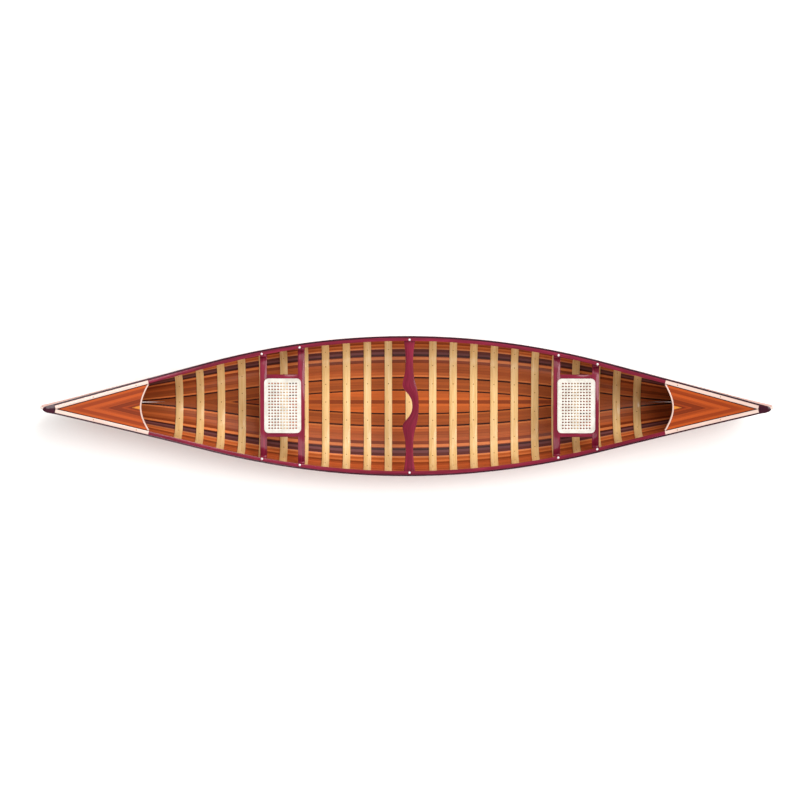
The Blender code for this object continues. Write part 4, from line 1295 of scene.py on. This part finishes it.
def bolt_tree():
    """A cup washer with a domed head in it on every guide point."""
    tree, given, result = new_tree("Cup washer bolts", (
        ("Washer width", "NodeSocketFloat", 0.0165), ("Washer height", "NodeSocketFloat", 0.0022),
        ("Material", "NodeSocketMaterial", None)))
    half = add(tree, "ShaderNodeMath", {0: given.outputs["Washer width"]}, {1: 0.5}, operation="MULTIPLY")
    neck = add(tree, "ShaderNodeMath", {0: half}, {1: WASHER_NECK}, operation="MULTIPLY")
    ring = add(tree, "GeometryNodeMeshCone", {"Radius Bottom": half,
                                              "Radius Top": neck,
                                              "Depth": given.outputs["Washer height"]},
               {"Vertices": 28, "Side Segments": 2})
    head_half = add(tree, "ShaderNodeMath", {0: half}, {1: HEAD_WIDE}, operation="MULTIPLY")
    head_high = add(tree, "ShaderNodeMath", {0: given.outputs["Washer height"]}, {1: HEAD_HIGH},
                    operation="MULTIPLY")
    ball = add(tree, "GeometryNodeMeshUVSphere", None, {"Segments": 20, "Rings": 10, "Radius": 1.0})
    size = add(tree, "ShaderNodeCombineXYZ", {"X": head_half, "Y": head_half,
                                              "Z": head_high})
    lift = add(tree, "ShaderNodeCombineXYZ", {"Z": given.outputs["Washer height"]})
    dome = add(tree, "GeometryNodeTransform", {"Geometry": ball.outputs["Mesh"], "Scale": size,
                                               "Translation": lift})
    smooth = add(tree, "GeometryNodeSetShadeSmooth", {0: dome})
    both = add(tree, "GeometryNodeJoinGeometry", {0: ring.outputs["Mesh"]})
    wire(both, {0: smooth})
    set_in = add(tree, "GeometryNodeInstanceOnPoints", {"Points": given.outputs["Geometry"],
                                                        "Instance": both,
                                                        "Rotation": turned_to_way(tree)})
    close_tree(tree, set_in, given, result)
    return tree


def strand(tree, given, start, end, wide):
    """One flat strand between two places given as shares of the hole pitch, and a layer height."""
    ends = []
    for place_at in (start, end):
        plane = add(tree, "ShaderNodeVectorMath", {"Scale": given.outputs["Pitch"]},
                    {0: (place_at[0], place_at[1], 0.0)}, operation="SCALE")
        layer = add(tree, "ShaderNodeVectorMath", {"Scale": given.outputs["Strand thickness"]},
                    {0: (0.0, 0.0, place_at[2])}, operation="SCALE")
        ends.append(add(tree, "ShaderNodeVectorMath", {0: plane, 1: layer}, None,
                        operation="ADD"))
    path = add(tree, "GeometryNodeCurvePrimitiveLine", {"Start": ends[0], "End": ends[1]})
    profile = add(tree, "GeometryNodeCurvePrimitiveCircle", None, {"Resolution": 8, "Radius": 0.5})
    width = add(tree, "ShaderNodeMath", {0: given.outputs["Strand width"]}, {1: wide}, operation="MULTIPLY")
    size = add(tree, "ShaderNodeCombineXYZ", {"X": width,
                                              "Y": given.outputs["Strand thickness"]}, {"Z": 1.0})
    flat = add(tree, "GeometryNodeTransform", {"Geometry": profile, "Scale": size})
    return add(tree, "GeometryNodeCurveToMesh", {"Curve": path,
                                                 "Profile Curve": flat},
               {"Fill Caps": True})


# Strands of one woven cell, as shares of the hole pitch, the layer each end lies on, and a width share
COLUMNS_STRAND = ("from", "to", "width")
STRANDS = (
    ((-0.40, -0.5, 0.6), (-0.40, 0.5, 0.6), 1.0),
    ((0.40, -0.5, 0.6), (0.40, 0.5, 0.6), 1.0),
    ((-0.5, -0.40, 1.4), (0.5, -0.40, 1.4), 1.0),
    ((-0.5, 0.40, 1.4), (0.5, 0.40, 1.4), 1.0),
    ((-0.5, 0.0, 2.1), (0.0, 0.5, 2.3), 0.95),
    ((0.5, 0.0, 2.3), (0.0, -0.5, 2.1), 0.95),
    ((-0.5, 0.0, 2.3), (0.0, -0.5, 2.1), 0.95),
    ((0.5, 0.0, 2.1), (0.0, 0.5, 2.3), 0.95),
)


def cane_tree():
    """Six-way cane weave: pairs of square strands and corner strands round each open hole."""
    tree, given, result = new_tree("Cane weave", (
        ("Pitch", "NodeSocketFloat", 0.020), ("Strand width", "NodeSocketFloat", 0.0037),
        ("Strand thickness", "NodeSocketFloat", 0.0010), ("Material", "NodeSocketMaterial", None)))
    cell = add(tree, "GeometryNodeJoinGeometry")
    for start, end, wide in STRANDS:
        wire(cell, {0: strand(tree, given, start, end, wide)})
    set_in = add(tree, "GeometryNodeInstanceOnPoints", {"Points": given.outputs["Geometry"],
                                                        "Instance": cell})
    close_tree(tree, set_in, given, result)
    return tree


class CANOE_OT_tacks(bpy.types.Operator):
    """Drive brass tacks along every rib"""
    bl_idname = "canoe.tacks"
    bl_label = "Rib tacks"

    def execute(self, context):
        sizes = context.scene.canoe_fastenings
        verts = []
        edges = []
        ways = []
        for x in RIB_PLACES:
            face = rib_face(x, GAP + RIB_THICK + 0.0001)
            inset = face[2:-2]
            slope = np.gradient(inset, axis=0)
            base = len(verts)
            verts += list(inset)
            edges += [(base + k, base + k + 1) for k in range(len(inset) - 1)]
            ways += [(0.0, -s[2], s[1]) for s in slope]
        ways = np.array(ways)
        ways[ways[:, 2] < 0.0] *= -1.0
        item = grow("rib_tacks", verts, edges, ways, tack_tree(), {
            "Spacing": sizes.tack_spacing, "Head width": sizes.tack_width,
            "Material": material_of("brass")})
        fasten(item, None)
        return {"FINISHED"}


BOLT_OUT = 0.013
BOLT_SHARE = 0.64
DECK_SCREW_X = (1.80, 2.08)


def gunwale_seat(x, sign):
    """Point on the inwale's top at one x, a little inboard of the middle of its width."""
    a = x / SHEER_END_X
    section = inwale_section(a, INWALE_WIDE)
    point = (1.0 - BOLT_SHARE) * section[0] + BOLT_SHARE * section[1]
    return point * np.array([1.0, sign, 1.0])


class CANOE_OT_bolts(bpy.types.Operator):
    """Set the cup washer bolts over the seats and yoke and the screws in the deck borders"""
    bl_idname = "canoe.bolts"
    bl_label = "Bolts and screws"

    def execute(self, context):
        sizes = context.scene.canoe_fastenings
        up = (0.0, 0.0, 1.0)
        verts = []
        for name, x_fore, x_aft in SEATS:
            for x in (x_fore, x_aft):
                verts += [gunwale_seat(x + math.copysign(BOLT_OUT, x), sign) for sign in (-1.0, 1.0)]
        verts += [gunwale_seat(YOKE_X, sign) for sign in (-1.0, 1.0)]
        tree = bolt_tree()
        steel = material_of("steel")
        item = grow("gunwale_bolts", verts, [], [up] * len(verts), tree, {
            "Washer width": sizes.washer_width, "Material": steel})
        fasten(item, None)
        verts = []
        ways = []
        for sign_x in (-1.0, 1.0):
            for x in DECK_SCREW_X:
                section = inwale_section(x / SHEER_END_X, BORDER_WIDE)
                point = 0.5 * (section[0] + section[1])
                for sign in (-1.0, 1.0):
                    verts.append(point * np.array([sign_x, sign, 1.0]))
                    ways.append(up)
        item = grow("deck_screws", verts, [], ways, tree, {
            "Washer width": sizes.screw_width, "Washer height": 0.0006, "Material": material_of("brass")})
        fasten(item, None)
        return {"FINISHED"}


def round_corners(x0, x1, half_y, radius, steps=6):
    """Outline of a rectangle with round corners, counterclockwise."""
    out = []
    for x, y, start in ((x1, half_y, 0.0), (x0, half_y, 90.0), (x0, -half_y, 180.0), (x1, -half_y, 270.0)):
        mx = x - math.copysign(radius, x - 0.5 * (x0 + x1))
        my = y - math.copysign(radius, y)
        for k in range(steps + 1):
            angle = math.radians(start + 90.0 * k / steps)
            out.append((mx + radius * math.cos(angle), my + radius * math.sin(angle)))
    return np.array(out)


HOLES_LONG = 12
HOLES_WIDE = 18
WEAVE_LIFT = 0.0011
CANE_FORE_LAP = 0.0045
CANE_AFT_LAP = 0.0022
# The reed spline's round back, inward from the panel's edge and up from its foot
COLUMNS_SPLINE = ("inset", "height")
SPLINE = (
    (0.0000, 0.0000),
    (0.0000, 0.0022),
    (0.0012, 0.0034),
    (0.0028, 0.0038),
    (0.0046, 0.0022),
    (0.0046, 0.0012),
)


class CANOE_OT_caning(bpy.types.Operator):
    """Weave the cane panels and bind their edges"""
    bl_idname = "canoe.caning"
    bl_label = "Caned panels"

    def execute(self, context):
        sizes = context.scene.canoe_caning
        cane = material_of("cane")
        tree = cane_tree()
        for name, x_fore, x_aft in SEATS:
            base = seat_top(x_fore, x_aft) + GAP
            x0 = x_fore + CANE_FORE_LAP
            x1 = x_aft - CANE_AFT_LAP
            middle = 0.5 * (x0 + x1)
            points = []
            for i in range(HOLES_LONG):
                for j in range(HOLES_WIDE):
                    if i in (0, HOLES_LONG - 1) and j in (0, HOLES_WIDE - 1):
                        continue
                    points.append((middle + (i - (HOLES_LONG - 1) / 2.0) * sizes.pitch,
                                   (j - (HOLES_WIDE - 1) / 2.0) * sizes.pitch, base + WEAVE_LIFT))
            weave = grow("weave", points, [], [(0.0, 0.0, 1.0)] * len(points), tree, {
                "Pitch": sizes.pitch, "Strand width": sizes.strand_width,
                "Strand thickness": sizes.strand_thickness, "Material": cane})
            border = self.border(x0, x1, middle, base, sizes)
            place(joined(name + "_woven_cane", [weave, border]), name + "_cane", cane)
        return {"FINISHED"}

    def border(self, x0, x1, middle, base, sizes):
        """Flat edge of the panel with the reed spline pressed round it."""
        inner_x = (HOLES_LONG / 2.0 - 1.0) * sizes.pitch
        inner_y = (HOLES_WIDE / 2.0 - 1.0) * sizes.pitch
        rings = [(round_corners(x0 + inset, x1 - inset, CANE_HALF_Y - inset, CANE_CORNER - inset), height)
                 for inset, height in SPLINE]
        inside = round_corners(middle - inner_x, middle + inner_x, inner_y, 0.002)
        rings += [(inside, WEAVE_LIFT), (inside, 0.0)]
        sections = np.array([[(p[0], p[1], base + z) for p in ring] for ring, z in rings])
        rows, cols = sections.shape[:2]
        faces = []
        for i in range(rows):
            for j in range(cols):
                k = (j + 1) % cols
                m = (i + 1) % rows
                faces.append((i * cols + j, i * cols + k, m * cols + k, m * cols + j))
        flat = sections.reshape(-1, 3)
        return finish_mesh("border", flat, faces, flat[:, :2], 50.0)


# Studio
# Width that the picture takes in at the gunwales, and the point that its middle falls on
FRAME_WIDE = 5.34
AIM = (-0.0454, 0.0394, 0.35)
SENSOR_WIDE = 36.0
FLOOR_WIDE = 60.0
FLOOR_DROP = 0.001
FIBRE_SHADE = 0.985
# Brightness of the studio's walls and ceiling, and how high the one gives way to the other
WALL_LIGHT = 1.1
CEILING_LIGHT = 0.35
WALL_TOP = 0.25
CEILING_FOOT = 0.90
SUN_POWER = 2.6
SUN_ANGLE = 36.0
SUN_TURN = (-18.0, 24.0, 0.0)
COLUMNS_SOFTBOX = ("name", "place", "aim", "wide", "deep", "watts")
SOFTBOXES = (
    ("key_softbox", (0.5, 4.0, 4.4), (0.0, 0.0, 0.2), 6.0, 1.6, 110.0),
    ("fill_softbox", (-0.5, -3.8, 4.0), (0.0, 0.0, 0.2), 6.0, 1.6, 110.0),
)


class CANOE_OT_studio(bpy.types.Operator):
    """Set the pale floor, the soft lights and the camera over the boat"""
    bl_idname = "canoe.studio"
    bl_label = "Studio"

    def execute(self, context):
        studio = context.scene.canoe_studio
        self.paper_floor(tuple(studio.floor_colour))
        self.walls(context.scene)
        self.lights()
        self.plan_camera(context.scene, studio.camera_distance, studio.camera_lean)
        return {"FINISHED"}

    def paper_floor(self, pale):
        bpy.ops.mesh.primitive_plane_add(size=FLOOR_WIDE, location=(0.0, 0.0, -FLOOR_DROP))
        floor = bpy.context.active_object
        floor.name = "studio_floor"
        # Matt paper sweep, pale and even, with a very faint fibre
        paper, tree, shader = new_material("studio_paper")
        where = add(tree, "ShaderNodeTexCoord")
        fibre = add(tree, "ShaderNodeTexNoise", {"Vector": where.outputs["Object"]}, {"Scale": 40.0})
        shade = tuple(FIBRE_SHADE * c for c in pale[:3]) + (1.0,)
        tone = add(tree, "ShaderNodeMix", {0: fibre.outputs["Fac"]}, {6: pale, 7: shade}, data_type="RGBA")
        wire(shader, {"Base Color": tone.outputs[2]}, {"Roughness": 0.9})
        floor.data.materials.append(paper)

    def walls(self, scene):
        """White walls under a dimmer ceiling, so that gloss seen from above stays clear."""
        world = bpy.data.worlds.new("studio_world")
        world.use_nodes = True
        tree = world.node_tree
        way = add(tree, "ShaderNodeTexCoord")
        height = add(tree, "ShaderNodeSeparateXYZ", {"Vector": way.outputs["Generated"]})
        light = add(tree, "ShaderNodeMapRange", {"Value": height.outputs["Z"]},
                    {"From Min": WALL_TOP, "From Max": CEILING_FOOT, "To Min": WALL_LIGHT,
                     "To Max": CEILING_LIGHT})
        wire(tree.nodes["Background"], {"Strength": light}, {"Color": linear("ffffff")})
        scene.world = world
        scene.view_settings.view_transform = "Standard"

    def lights(self):
        data = bpy.data.lights.new("overhead_bank", "SUN")
        data.energy = SUN_POWER
        data.angle = math.radians(SUN_ANGLE)
        stand(data.name, data).rotation_euler = [math.radians(turn) for turn in SUN_TURN]
        for name, spot, aim, wide, deep, watts in SOFTBOXES:
            data = bpy.data.lights.new(name, "AREA")
            data.shape = "RECTANGLE"
            data.size = wide
            data.size_y = deep
            data.energy = watts
            lamp = stand(name, data)
            lamp.location = spot
            lamp.rotation_euler = (Vector(aim) - Vector(spot)).to_track_quat("-Z", "Y").to_euler()

    def plan_camera(self, scene, height, lean):
        data = bpy.data.cameras.new("plan_camera")
        data.sensor_width = SENSOR_WIDE
        data.lens = SENSOR_WIDE * height / FRAME_WIDE
        data.clip_end = 200.0
        camera = stand("plan_camera", data)
        camera.location = Vector(AIM) + Vector((0.0, math.sin(lean), math.cos(lean))) * height
        camera.rotation_euler = (-lean, 0.0, 0.0)
        scene.camera = camera


class CANOE_PT_panel(bpy.types.Panel):
    """Canoe looks"""
    bl_label = "Canoe looks"
    bl_idname = "CANOE_PT_panel"
    bl_space_type = "VIEW_3D"
    bl_region_type = "UI"
    bl_category = "Canoe"

    def draw(self, context):
        layout = self.layout
        for group in ("canoe_joinery", "canoe_fastenings", "canoe_caning", "canoe_studio"):
            settings = getattr(context.scene, group)
            box = layout.box()
            for name in type(settings).__annotations__:
                box.prop(settings, name)
        for operator in OPERATORS:
            layout.operator(operator.bl_idname)


GROUPS = (
    ("canoe_joinery", CanoeJoinery),
    ("canoe_fastenings", CanoeFastenings),
    ("canoe_caning", CanoeCaning),
    ("canoe_studio", CanoeStudio),
)
OPERATORS = (
    CANOE_OT_planking, CANOE_OT_stems, CANOE_OT_gunwales, CANOE_OT_ribs, CANOE_OT_decks,
    CANOE_OT_seats, CANOE_OT_yoke, CANOE_OT_tacks, CANOE_OT_bolts, CANOE_OT_caning, CANOE_OT_studio,
)


def register():
    for name, group in GROUPS:
        bpy.utils.register_class(group)
        setattr(bpy.types.Scene, name, PointerProperty(type=group))
    for item in OPERATORS + (CANOE_PT_panel,):
        bpy.utils.register_class(item)


def unregister():
    for item in (CANOE_PT_panel,) + OPERATORS[::-1]:
        bpy.utils.unregister_class(item)
    for name, group in GROUPS[::-1]:
        delattr(bpy.types.Scene, name)
        bpy.utils.unregister_class(group)


def main():
    register()
    for item in OPERATORS:
        group, name = item.bl_idname.split(".")
        getattr(getattr(bpy.ops, group), name)()


if __name__ == "__main__":
    main()
